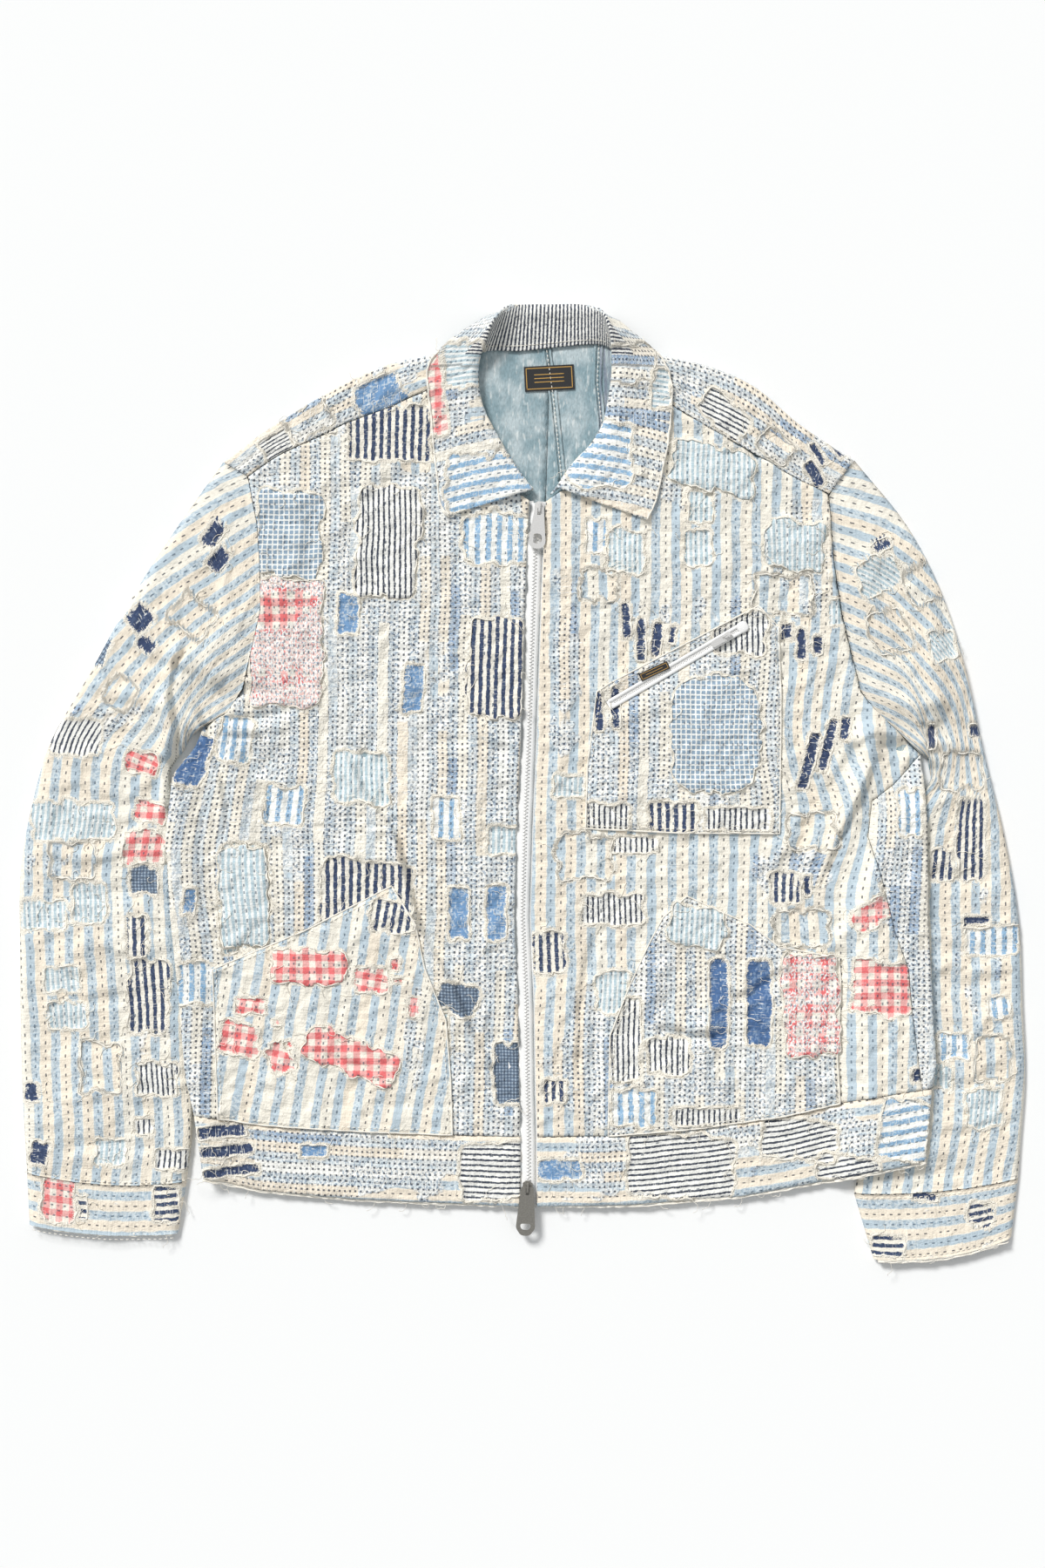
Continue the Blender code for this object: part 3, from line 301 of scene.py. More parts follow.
# Creases pressed or pushed into the cloth on top: half width, height, below 0 for a trough, and
# the line's points.
CREASES = [
    (7, -2.4, -154, 33, -138.5, 25, -120.5, 20.5),
    (7, -2.4, -213, 25, -197.5, 12, -189, -5, -185, -29.5),
    (6, -2, -182, -208, -140, -227, -101.5, -234), (9, -1.6, -42, -156, -19.5, -205, -7, -246.5),
    (9, -2.2, -255, 64, -222.5, 74, -189, 68),
    (9, -2.2, -243.5, 53, -227, 29, -207, -5, -194.5, -44),
    (10, 1.6, -210, 47, -192, 12, -186, -23), (14, -1.2, -210, 138, -182, 107, -173.5, 68),
    (13, 1.4, -157.5, 236, -145.5, 187, -141.5, 138),
    (12, -1.5, -159.5, 229, -173.5, 180, -168, 138), (12, -1.2, -70, 208, -56, 180, -61.5, 138),
    (16, 1.2, -28, 54, -42, -2, -33.5, -57.5), (10, -1.3, -178.5, -222, -126, -255, -70, -265),
    (9, -1.6, -154, -198, -119, -222, -101.5, -232.5),
    (7, -2.6, 101.5, -196.5, 133, -206, 168, -202), (7, 1.8, 105, -188, 136.5, -196.5, 165, -191),
    (7, -2.4, 165, -177, 183.5, -170, 203, -156, 220.5, -150),
    (8, -2.2, 210, -124, 220.5, -156, 238, -187), (7, -2.2, 63, -113.5, 50.5, -156, 47.5, -198),
    (14, 1.6, 112, -212, 101, -177, 112, -135), (7, -1.8, 56, -145, 59, -198, 58, -255),
    (11, 1, 38.5, 194, 35, 96, 28, -2, 32, -100), (11, -2, 262.5, 68, 269.5, 33, 259, -5),
    (12, -1.6, 238, -5, 220.5, -57.5, 196, -93), (9, 1.8, 269.5, -93, 257.5, -124, 231, -142),
    (8, -1.4, 311.5, -23, 308, -79, 316.5, -135), (14, -1.3, 203, 180, 213.5, 124, 210, 68),
    (13, 1.1, 154, 236, 164.5, 194, 159.5, 145), (8, -1, 70, -37, 119, -49.5, 182, -47),
    (11, 1.3, 213.5, -212, 234.5, -239.5, 273, -255), (9, -5.5, -263, 74, -253.5, 64, -236.5, 61),
    (6, -2.2, -249, 50, -210, 51.5, -173.5, 60), (7, 2, -248, 41.5, -210, 41.5, -175, 48.5),
    (5, -0.8, -220.5, 236, -215.5, 180, -217, 124, -227, 68),
    (5, -0.8, 246.5, 215, 253.5, 166, 260.5, 117, 270, 68), (8, -3.4, 284, 33, 301, 26, 316.5, 33),
    (9, 2.6, 252, 26, 280, 41.5, 308, 36), (9, -1.2, -210, 229, -189, 208, -159.5, 208),
    (8, -1.4, -119, 236, -91, 244.5, -56, 236), (10, 1.5, -150.5, 299, -138.5, 264, -141.5, 236),
    (10, 1.4, 0, -79, -28, -127.5, -42, -149), (9, -1.2, -70, 29.5, -42, 33, -7, 20.5),
    (10, -1.3, 119, 299, 133, 264, 126, 229), (9, -1.8, 182, 278, 196, 236, 213.5, 208),
    (8, 1.6, 187.5, 279.5, 206.5, 236, 225.5, 208),
]

# Folds where the cloth left of a line rises and drops away steeply on its right: width on the
# left and on the right, height, depth, and the line's points.
FOLDS = [
    (17, 11, 9, 5, -145.5, 33, -127.5, -4.5, -101.5, -41, -92.5, -75, -84, -111, -66, -147.5),
    (14, 10, 7, 4.4, -81, -115, -53, -167.5, -40, -200.5, -15.5, -239.5),
    (10, 8, 3.4, 3.6, -263, 68, -252, 33, -241, -2, -236.5, -44),
    (11, 9, 4.6, 3.8, 283, 22, 273, -5, 253.5, -44, 238, -84.5),
    (9, 7, 1.8, 2.4, 38.5, -156, 45, -198, 42, -239.5),
    (13, 8, 5.4, 4, -264.5, 118.5, -278.5, 95, -281.5, 68, -277, 43, -281.5, 15),
    (10, 7, 3.6, 3.2, -287, 19, -283, -9, -288.5, -38), (8, 9, 2, 3, 312, 29, 305, -2, 309.5, -44),
]

# Creases of the sleeves, as above.
SLEEVE_CREASES = [
    (10, -2.4, -336, 110, -304.5, 96, -269.5, 89), (9, 1.8, -346.5, 75, -308, 68, -276.5, 53),
    (10, -2.2, -378, -2, -336, -19, -287, -19), (8, -2.6, -287, 12, -304.5, -26, -322, -44),
    (11, -1.8, -388.5, -79, -343, -93, -294, -82), (12, 1.6, -378, -142, -336, -127.5, -287, -138),
    (11, -1.8, -392, -198, -350, -212, -301, -201),
    (10, 1.3, -378, -257, -329, -246.5, -280, -257),
    (9, -1.4, -385, -296, -336, -289, -283.5, -297),
    (14, 1.4, -290.5, 208, -262.5, 236, -227.5, 246.5),
    (10, -2, -252, 180, -241.5, 138, -257.5, 107), (12, -2, 280, 180, 301, 138, 308, 89),
    (13, 1.6, 322, 145, 332.5, 96, 329, 47), (10, -2.4, 301, 33, 336, 44, 371, 33),
    (11, 1.7, 308, -23, 343, -12, 385, -19), (10, -2, 315, -72, 350, -79, 392, -72),
    (11, -1.8, 322, -124, 357, -142, 395.5, -135), (12, 1.6, 329, -184, 364, -194, 395.5, -177),
    (10, -1.8, 322, -236, 350, -246.5, 395.5, -229), (10, 1.4, 280, -282, 322, -296, 378, -282),
    (9, -1.3, 276.5, -320, 322, -313, 378, -313),
    (11, 4, -285.5, 109, -273, 99, -255, 89, -236.5, 74),
    (8, -3.6, -288.5, 88, -276.5, 68, -264.5, 46), (6, -2.4, -277, 104.5, -262, 93.5, -252, 76.5),
    (9, 3, -290, 82, -284, 40, -290, 5), (9, -2.6, -315, 26, -290.5, 15.5, -276.5, -2),
    (9, 1.8, -245, 166, -234.5, 138, -227, 110), (9, -2.4, 255, 236, 287, 225.5, 312, 201),
    (9, 2, 266, 246.5, 301, 236, 326, 208), (10, 2.4, 287, 68, 315, 60, 350, 68),
    (8, -2.8, 294, 50, 323.5, 39, 364, 43), (9, -2, 322, 180, 339.5, 138, 347, 96),
    (9, -2.2, 312, 12, 350, 5, 378, 16.5), (9, -2, -378, 44, -343, 33, -304.5, 39),
    (9, 1.6, -392, -47, -357, -61, -315, -56.5), (9, -1.6, -385, -170, -343, -177, -294, -168.5),
    (9, -1.6, 322, -156, 357, -164, 395.5, -154.5), (9, 1.6, 315, -268, 350, -275, 392, -261),
]


BESIDE = 2.4  # how far to both sides of a fold's line its two sides are told apart
TURN_OVER = 4.4  # the difference between them that counts as wholly on one side


def swell(gap, reach, along, share):
    """1 on a line, and 0 at reach from it and at its ends, over a share of its length."""
    ends = smooth(along / share) * smooth((1 - along) / share)
    return ends * np.cos(math.pi / 2 * np.minimum(gap / reach, 1)) ** 2


def creases(x, y, table):
    """The height of a table's creases, which fade out at both ends."""
    total = np.zeros(np.shape(x))
    for reach, height, *flat in table:
        line = pairs(flat)
        near = around(x, y, line, reach)
        gap, along = line_gap(x[near], y[near], line)
        total[near] += 1.6 * height * swell(gap, reach, along, 0.25)
    return total


def folds(x, y):
    """The height of the folds, which fade out at both ends."""
    total = np.zeros(np.shape(x))
    for left, right, high, deep, *flat in FOLDS:
        line = pairs(flat)
        gap, along = line_gap(x, y, line)
        before, after = (line_gap(x + d, y, line)[0] for d in (BESIDE, -BESIDE))
        side = np.clip((after - before) / TURN_OVER, -1, 1)
        size, reach = np.where(side > 0, high, deep), np.where(side > 0, left, right)
        total += side * size * swell(gap, reach, along, 0.2)
    return total


def wrinkles(x, y):
    """Broad soft rises and hollows, and thin ridges and folds that wander over them."""
    broad = 0.85 * noise(x, y, 52, 1) + 0.7 * noise(x, y, 23, 2)
    ridge = (1 - np.abs(noise(x + 0.4 * y, y, 30, 3))) ** 5
    fold = (1 - np.abs(noise(x, y - 0.3 * x, 17, 4))) ** 6
    level = (1 - np.abs(noise(0.35 * x, y, 11, 7))) ** 6
    return 1.3 * broad + 1.8 * ridge - 1.7 * fold + 0.8 * level


def puckers(u, v):
    """The small puffs that rows of stitches draw up between them."""
    rows = np.abs(np.sin(math.pi * u / ROW))
    beads = np.cos(2 * math.pi * v / STITCH + 3 * noise(u, v, 30, 5))
    loose = noise(u, 0.55 * v, 6.5, 6)
    return 0.6 * rows + 0.28 * beads * (1 - rows) + 0.5 * loose


# ---- meshes ----------------------------------------------------------------------------------

def add_mesh(name, verts, tris, looks, pick=None, weave=None, wear=None):
    """A piece from points in millimetres and triangles, which rides on the jacket."""
    mesh = bpy.data.meshes.new(name)
    verts, tris = np.asarray(verts, float) * MM, np.asarray(tris, np.int32)
    mesh.vertices.add(len(verts))
    mesh.vertices.foreach_set("co", verts.ravel())
    mesh.loops.add(tris.size)
    mesh.loops.foreach_set("vertex_index", tris.ravel())
    mesh.polygons.add(len(tris))
    mesh.polygons.foreach_set("loop_start", np.arange(0, tris.size, 3, dtype=np.int32))
    for look in looks:
        mesh.materials.append(look)
    if pick is not None:
        mesh.polygons.foreach_set("material_index", np.asarray(pick, np.int32))
    mesh.update(calc_edges=True)
    mesh.shade_smooth()
    for key, values, kind, field in (("weave", weave, "FLOAT_VECTOR", "vector"),
                                     ("wear", wear, "FLOAT", "value")):
        if values is not None:
            layer = mesh.attributes.new(key, kind, "POINT")
            layer.data.foreach_set(field, np.asarray(values, float).ravel())
    made = bpy.data.objects.new(name, mesh)
    bpy.context.scene.collection.objects.link(made)
    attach(made, "jacket")
    return made


def wall(tris, top, under):
    """The points and triangles of a closed wall between two surfaces with the same points."""
    count = len(top)
    rim = edge_steps(tris)
    a, b = rim[:, 0], rim[:, 1]
    sides = np.concatenate([np.c_[a, a + count, b], np.c_[b, a + count, b + count]])
    return np.concatenate([top, under]), np.concatenate([tris, tris[:, ::-1] + count, sides])


def tree_of(points):
    """A tree that finds the nearest of some points on the plan."""
    tree = kdtree.KDTree(len(points))
    for k, (x, y, *_) in enumerate(points):
        tree.insert((x, y, 0), k)
    tree.balance()
    return tree


def triangulate(loops, step):
    """Points and triangles over the first loop, with the lines of all loops among the edges."""
    points = [p for loop in loops for p in loop]
    edges, first = [], 0
    for loop in loops:
        edges += [(first + k, first + (k + 1) % len(loop)) for k in range(len(loop))]
        first += len(loop)
    tree = tree_of(points)
    low, high = np.min(loops[0], axis=0), np.max(loops[0], axis=0)
    rise = 0.866 * step
    x, y = np.meshgrid(np.arange(low[0], high[0], step), np.arange(low[1], high[1], rise))
    x[1::2] += 0.5 * step
    x, y = x.ravel(), y.ravel()
    kept = inside(x, y, loops[0])
    clear = 0.55 * step  # from the lines to the nearest point between them
    points += [(px, py) for px, py in zip(x[kept], y[kept]) if tree.find((px, py, 0))[2] > clear]
    found, _, faces, *_ = delaunay_2d_cdt([Vector(p) for p in points], edges, [], 0, 0.001)
    flat = np.array([(v.x, v.y) for v in found])
    tris = np.array(faces, np.int64)
    a, b, c = flat[tris[:, 0]], flat[tris[:, 1]], flat[tris[:, 2]]
    turn = (b[:, 0] - a[:, 0]) * (c[:, 1] - a[:, 1]) - (b[:, 1] - a[:, 1]) * (c[:, 0] - a[:, 0])
    tris[turn < 0] = tris[turn < 0][:, ::-1]
    middle = flat[tris].mean(1)
    kept = inside(middle[:, 0], middle[:, 1], loops[0]) & (np.abs(turn) > 1e-4)
    return flat, tris[kept]


ROUND = 6.28  # a full turn, for threads that may start any way


class Batch:
    """Many small closed shapes that become one joined piece."""

    def __init__(self):
        self.verts, self.tris, self.count = [], [], 0

    def add(self, verts, tris):
        self.verts.append(np.asarray(verts, float))
        self.tris.append(np.asarray(tris) + self.count)
        self.count += len(verts)

    def rope(self, line, radius, sides=4, closed=False, flat=1.0):
        """A round thread along a line of points, with its ends closed."""
        line = np.asarray(line, float)
        if len(line) < 3:
            return
        ahead = np.roll(line, -1, 0) - np.roll(line, 1, 0) if closed else np.gradient(line, axis=0)
        way = unit(ahead)
        over = unit(np.cross(way, (0, 0, 1.0)))
        up = np.cross(over, way)
        radius = np.broadcast_to(radius, len(line))[:, None]
        angles = [2 * math.pi * (k + 0.5) / sides for k in range(sides)]
        rings = [line + radius * (math.cos(a) * over + flat * math.sin(a) * up) for a in angles]
        verts = np.stack(rings, 1).reshape(-1, 3)
        count = len(line)
        i, k = np.arange(count if closed else count - 1)[:, None], np.arange(sides)[None]
        a, b = i * sides + k, i * sides + (k + 1) % sides
        c, d = (a + sides) % (count * sides), (b + sides) % (count * sides)
        tris = [np.stack([a, b, c], -1).reshape(-1, 3), np.stack([b, d, c], -1).reshape(-1, 3)]
        if not closed:
            last = (count - 1) * sides
            tris.append([(0, k + 1, k) for k in range(1, sides - 1)])
            tris.append([(last, last + k, last + k + 1) for k in range(1, sides - 1)])
        self.add(verts, np.concatenate(tris))

    def block(self, middle, way, size, chamfer=0.3):
        """A block whose length follows way, with a smaller top: middle of its foot, and size."""
        way = np.array(way, float) / math.hypot(*way)
        over = np.array([-way[1], way[0]])
        length, width, height = size
        verts = []
        for z, share in ((0.0, 1.0), (height, 1 - chamfer)):
            for a, b in ((-1, -1), (1, -1), (1, 1), (-1, 1)):
                p = np.array(middle[:2]) + share * (a * way * length + b * over * width) / 2
                verts.append((*p, middle[2] + z))
        tris = [(0, 2, 1), (0, 3, 2), (4, 5, 6), (4, 6, 7)]
        for a, b in ((0, 1), (1, 2), (2, 3), (3, 0)):
            tris += [(a, b, a + 4), (b, b + 4, a + 4)]
        self.add(verts, tris)

    def stitch_line(self, line, surface, pitch=4.2, long=2.4, radius=0.38):
        """A row of stitches lying on a surface along an open line."""
        ends = across(line, 2 * max(2, int(length_of(line) / pitch)))
        for a, b in zip(ends[::2], ends[1::2]):
            way = (b - a) / max(math.dist(a, b), 0.1) * long / 2
            points = np.array([(a + b) / 2 + way * t for t in (-1, -0.4, 0.4, 1)])
            z = surface(points[:, 0], points[:, 1]) + (0.05, 0.3, 0.3, 0.05)
            self.rope(np.c_[points, z], radius)

    def frays(self, loop, surface, seed, every=13.0, curl=16.0):
        """Loose threads that curl away from a line, lying on a surface."""
        if len(loop) < 3:
            return
        for k, (x, y) in enumerate(across(loop, max(3, int(length_of(loop) / every)))):
            turn, luck = ROUND * hashed(k, seed, 71), hashed(k, seed, 72)
            if luck < 0.35:
                continue
            points = [(x, y)]
            for step in range(int(4 + 7 * luck)):
                turn += 2.1 * (hashed(step, k + 31 * seed, 73) - 0.5)
                points.append((points[-1][0] + curl / 9 * math.cos(turn),
                               points[-1][1] + curl / 9 * math.sin(turn)))
            points = np.array(points)
            lift = 0.35 + 0.3 * hashed(np.arange(len(points)), k + seed, 74)
            z = surface(points[:, 0], points[:, 1]) + lift
            self.rope(np.c_[points, z], 0.26, sides=3)

    def finish(self, name, look, slot):
        return add_mesh(name, np.concatenate(self.verts), np.concatenate(self.tris), [look])


# ---- the cloth's own tables ------------------------------------------------------------------

# Other cloths that show on each piece, as holes or worn patches: cloth, middle, width, height
# and, where it isn't 0, turn in degrees.
SPOTS = {
    "front_right": [
        ("wide", -22.5, 195.5, 50.5, 39), ("mid", -139.5, 135, 16, 33, -3),
        ("mid", -87.5, 74.5, 15.5, 39, -4), ("light", -129, 3, 43.5, 41.5),
        ("denim", -263, 18, 21.5, 42.5, -18), ("wide", -229, 33.5, 24, 35.5, -10),
        ("light", -223.5, -92, 39, 88), ("wide", -191, -19.5, 31, 31.5, -4),
        ("wide", -61, -28.5, 21.5, 33.5), ("navy", -125, -94.5, 75, 59.5, -6),
        ("mid", -51, -105.5, 15.5, 43.5), ("mid", -20.5, -105, 16, 41.5),
        ("check", -52, -174, 31.5, 24, -12), ("check", -12, -233, 21, 48.5),
        ("light", -68.5, -203.5, 17, 43.5), ("wide", -259.5, -161, 29.5, 33),
        ("navy", -107, 279, 66.5, 43.5), ("deep", -155.5, 289, 8.5, 21, 10),
        ("wide", -196, 172.5, 21, 15.5), ("light", -13.5, -46.5, 26.5, 22.5),
        ("mid", -266, -96, 8.5, 21, -6),
    ],
    "hand_pocket_right": [
        ("gingham", -217.5, -179.5, 24.5, 12.5, -4), ("gingham", -227, -206, 31.5, 25, -16),
        ("gingham", -194, -221, 17, 24, 30), ("gingham", -87, -180, 8.5, 14.5),
        ("gingham", -102, -146, 7, 8.5), ("gingham", -100, -159, 7, 4),
        ("gingham", -121, -158.5, 26.5, 19.5), ("gingham", -196.5, -193, 7, 4),
        ("gingham", -187.5, -210.5, 7, 5.5, 20), ("navy", -103.5, -107.5, 36.5, 24),
    ],
    "front_left": [
        ("light", 141, 187, 20.5, 28), ("wide", 59, 197, 15.5, 28),
        ("deep", 83, 129.5, 6.5, 28.5, 4), ("deep", 95, 113.5, 7, 33),
        ("deep", 107.5, 113.5, 7.5, 26, -6), ("deep", 120, 117.5, 5, 14.5, -12),
        ("deep", 211.5, 120, 8.5, 14), ("deep", 223.5, 109.5, 7, 24),
        ("deep", 236.5, 109.5, 7, 15.5), ("deep", 229.5, 16.5, 8.5, 47.5, -14),
        ("deep", 244.5, 29, 7.5, 45, -14), ("deep", 258.5, 43, 7.5, 19.5, -10),
        ("black", 90.5, -50.5, 37, 12), ("black", 72, -102, 47.5, 24),
        ("light", 37.5, -3, 24.5, 17), ("navy", 210.5, -84, 24.5, 24.5),
        ("navy", 21, -137.5, 26.5, 32), ("navy", 26, -248, 17.5, 19),
        ("light", 73, -168.5, 26.5, 30), ("gingham", 287.5, -165, 49, 41.5, -6),
        ("gingham", 280.5, -104.5, 34.5, 18, 34), ("deep", 315.5, -234, 10, 11),
        ("light", 254.5, 135, 16, 21), ("light", 82, 183, 29.5, 33.5),
        ("under", 61, 157.5, 26.5, 24.5), ("light", 142, 220.5, 18, 24.5),
        ("under", 208.5, 150, 45, 32), ("under", 232.5, -40, 38.5, 28), ("under", 49, -61, 42, 35),
        ("deep", 228, -82.5, 5, 17.5, 2), ("under", 224, -117.5, 42, 27.5),
        ("black", 294, -83, 14, 8.5, 30),
    ],
    "chest_pocket": [
        ("black", 67.5, -28, 35.5, 21.5), ("navy", 120.5, -28, 38.5, 24.5),
        ("black", 172, -30, 53, 17.5), ("black", 174.5, 120, 40.5, 36.5),
        ("deep", 61, 56.5, 7, 30, 4), ("deep", 74.5, 59, 6.5, 32, 2),
    ],
    "hand_pocket_left": [
        ("denim", 157, -177, 14.5, 70), ("denim", 189, -177, 19.5, 70),
        ("black", 82, -206.5, 24.5, 66.5), ("wide", 89, -261, 35, 28),
        ("black", 147, -268, 56, 14), ("black", 118, -219, 33, 28),
    ],
    "side_panel_left": [("wide", 310, -24, 18, 37)],
    "waistband_front_right": [
        ("deep", -239.5, -279.5, 38.5, 10, 4), ("deep", -237.5, -295, 40.5, 8.5, 4),
        ("deep", -232.5, -311.5, 45.5, 7.5, 5), ("mid", -167.5, -295.5, 21, 9),
        ("black", -24.5, -311.5, 49, 44, 2),
    ],
    "waistband_front_left": [
        ("mid", 29.5, -310.5, 34.5, 15.5), ("black", 126.5, -308.5, 85.5, 50.5, -3),
        ("black", 222, -286.5, 59.5, 32, -6), ("black", 260, -309.5, 47, 20.5, -8),
        ("wide", 304.5, -277.5, 38, 47.5, -8),
    ],
    "sleeve_right": [
        ("deep", -247, 199.5, 12.5, 21.5, -35), ("deep", -243, 179, 12.5, 19, -40),
        ("deep", -306.5, 131, 18, 17.5, -50), ("deep", -301.5, 109.5, 14.5, 11, -35),
        ("check", -339.5, 104.5, 15.5, 22.5, -20), ("black", -359.5, 36, 42.5, 28),
        ("gingham", -305, 15, 24, 17, -10), ("gingham", -298, -24, 25, 15.5, -16),
        ("gingham", -303, -53, 31.5, 26.5), ("check", -304, -79, 21.5, 22.5),
        ("light", -361, -31.5, 64.5, 30), ("light", -348, -97, 24.5, 32),
        ("light", -383.5, -106.5, 35, 23), ("light", -368.5, -158.5, 26, 19.5),
        ("light", -365, -187, 30, 21), ("navy", -308, -123.5, 15.5, 33.5),
        ("navy", -299.5, -171.5, 31, 58, -4), ("black", -292, -238.5, 31, 25),
        ("black", -303, -276, 14.5, 12), ("black", -280.5, -302, 26.5, 15.5),
        ("deep", -393.5, -248.5, 11, 13.5), ("deep", -387, -297, 14, 17, -10),
        ("under", -360.5, -63.5, 35, 28), ("under", -337.5, -228, 31, 38),
        ("under", -264, 132.5, 32, 25, -40), ("under", -321.5, 71, 21, 22.5, -35),
        ("light", -329.5, -296, 24, 19.5),
    ],
    "sleeve_left": [
        ("light", 285.5, 165.5, 31, 26.5, 20), ("light", 336, 109, 19.5, 22.5, 10),
        ("black", 286.5, 35.5, 21, 18), ("deep", 327.5, 35.5, 5.5, 21),
        ("deep", 366, 41.5, 15.5, 9), ("navy", 360, -46, 21, 63), ("navy", 335.5, -66.5, 17.5, 23),
        ("deep", 363.5, -112, 20.5, 9), ("wide", 376.5, -126.5, 42, 23),
        ("wide", 381, -180.5, 16, 14.5), ("wide", 345, -212, 25, 21),
        ("light", 370, -262, 28.5, 27.5), ("under", 322, 159, 28, 28, 28),
        ("under", 294, 120.5, 28, 35, 20), ("under", 351.5, 8, 31, 28),
        ("under", 377.5, -222, 26.5, 35), ("light", 332.5, -237, 21, 19.5),
        ("deep", 287, 188.5, 14, 8.5, 30),
    ],
    "cuff_right": [
        ("gingham", -371, -333.5, 25, 39), ("navy", -353.5, -340.5, 8.5, 19.5),
        ("navy", -285.5, -338, 19.5, 28),
    ],
    "yoke_right": [
        ("mid", -113.5, 309, 36.5, 28, 22), ("under", -171.5, 289.5, 35, 22.5, 30),
        ("black", -197.5, 270, 25, 17, 32),
    ],
    "yoke_left": [
        ("black", 161.5, 294.5, 43.5, 21, -42), ("deep", 236.5, 263, 19.5, 5.5, -58),
        ("deep", 234, 246, 22.5, 8.5, -60), ("deep", 252, 267, 17, 5.5, -50),
        ("under", 203, 269, 28, 18, -40),
    ],
    "collar": [
        ("gingham", -71.5, 314, 15.5, 71.5, 8), ("light", -47.5, 333, 28, 33.5),
        ("wide", -26, 238.5, 68.5, 46), ("wide", 61.5, 261.5, 50.5, 50.5),
        ("under", 87.5, 334, 35, 28), ("light", 110.5, 314, 14, 29.5),
    ],
    "cuff_left": [
        ("navy", 367, -346, 19.5, 18, -10), ("navy", 292, -371.5, 26.5, 16, -6),
        ("deep", 323, -332, 21.5, 5.5, -8),
    ],
}

# The patches that are pieces of their own in the frame: cloth, slot, middle, width, height, turn
# in degrees and, where it isn't a sharp block, how square it is.
PATCHES = {
    "patch_check_shoulder": ("grid", "blue_check", -187.5, 198.5, 53, 68, -3),
    "patch_gingham_chest": ("rose", "red_gingham", -189, 111.5, 56, 100, -2),
    "patch_navy_collar": ("black", "navy_stripe", -108, 192, 49, 86, -4),
    "patch_navy_zip": ("navy", "navy_stripe", -21.5, 91.5, 44, 77, -3),
    "patch_light_waist": ("light", "light_blue", -223.5, -92, 38, 78, 2),
    "patch_gingham_pocket_low": ("gingham", "red_gingham", -137, -219.5, 76, 27, -22),
    "patch_gingham_pocket_high": ("gingham", "red_gingham", -171, -148.5, 60, 27, -3, 4.5),
    "patch_light_collar": ("light", "light_blue", 152.5, 251, 68, 34, -14),
    "patch_light_armhole": ("light", "light_blue", 218.5, 190, 46, 38, -8),
    "patch_check_chest": ("grid", "blue_check", 154.5, 38, 71, 91, 0, 3.4),
    "patch_gingham_left_pocket": ("rose", "red_gingham", 231, -179, 44, 80, 3),
    "patch_light_left_pocket": ("light", "light_blue", 140, -116, 42, 30, -10),
}

# Where the base cloth is worn to a mottled weave, from 0 to 1: the whole piece, then spots as
# middle, half width, half height and how worn.
WEAR = {
    "front_right": (
        0.9, (-91, 278, 60, 30, 0.25), (-56, 96, 26, 50, 0.6), (-189, -72, 30, 60, 0.7),
    ),
    "front_left": (
        0.12, (33.5, 96, 16, 90, 0.6), (140, 138, 60, 14, 0.45), (227.5, 180, 26, 60, 0.6),
        (28, -232.5, 26, 30, 0.5), (63, -219, 30, 60, 0.9), (213.5, -72, 34, 22, 0.75),
        (266, -198, 30, 40, 0.3), (140, 236, 70, 20, 0.5), (301, -72, 20, 60, 0.9),
    ),
    "side_panel_left": (0.85,),
    "hand_pocket_right": (-0.5, (-85.5, -198, 12, 60, 0.6), (-199, -222, 18, 10, 0.3)),
    "hand_pocket_left": (0.95, (171.5, -239.5, 26, 20, 0.6)),
    "chest_pocket": (0.95,),
    "waistband_front_right": (0.35, (-140, -303, 90, 26, 0.95)),
    "waistband_front_left": (0.3, (63, -303, 26, 26, 0.9), (210, -282, 80, 22, 0.85)),
    "sleeve_right": (
        0.12, (-336, 47, 60, 20, 0.5), (-378, -72, 30, 60, 0.4), (-294, -212, 22, 40, 0.5),
    ),
    "sleeve_left": (
        0.1, (357, 138, 30, 40, 0.5), (371, -142, 30, 60, 0.4), (308, -246.5, 30, 30, 0.4),
    ),
    "yoke_right": (0.8, (-91, 313, 40, 30, 0.5)),
    "yoke_left": (0.85,),
    "cuff_right": (0.3,),
    "cuff_left": (0.3,),
    "back_right": (0.6,),
    "back_left": (0.5,),
    "waistband_back": (0.6,),
    "collar": (0.9, (-71.5, 313, 9, 40, 0.3), (-28, 299, 22, 22, 0.5)),
    "patch_gingham_chest": (
        0.85, (-197.5, 138, 20, 16, -0.2), (-178.5, 145, 16, 8, 0.2), (-192, 83.5, 24, 8, 0.45),
    ),
    "patch_gingham_left_pocket": (0.45,),
}

# How far the stripes lean from the zip's own line: middle, reach, lean.
LEANS = [(-276.5, -2, 75, 0.3), (252, 12, 55, -0.34), (245, -65, 40, 0.22)]
ZIP_LEAN = 0.0125


LEAST_SQUARE = 9  # a hole with a side below this is rounder
HOLE_STEP, RIM_STEP = 3.0, 1.8  # between the points of a hole's edge and of the rim on it


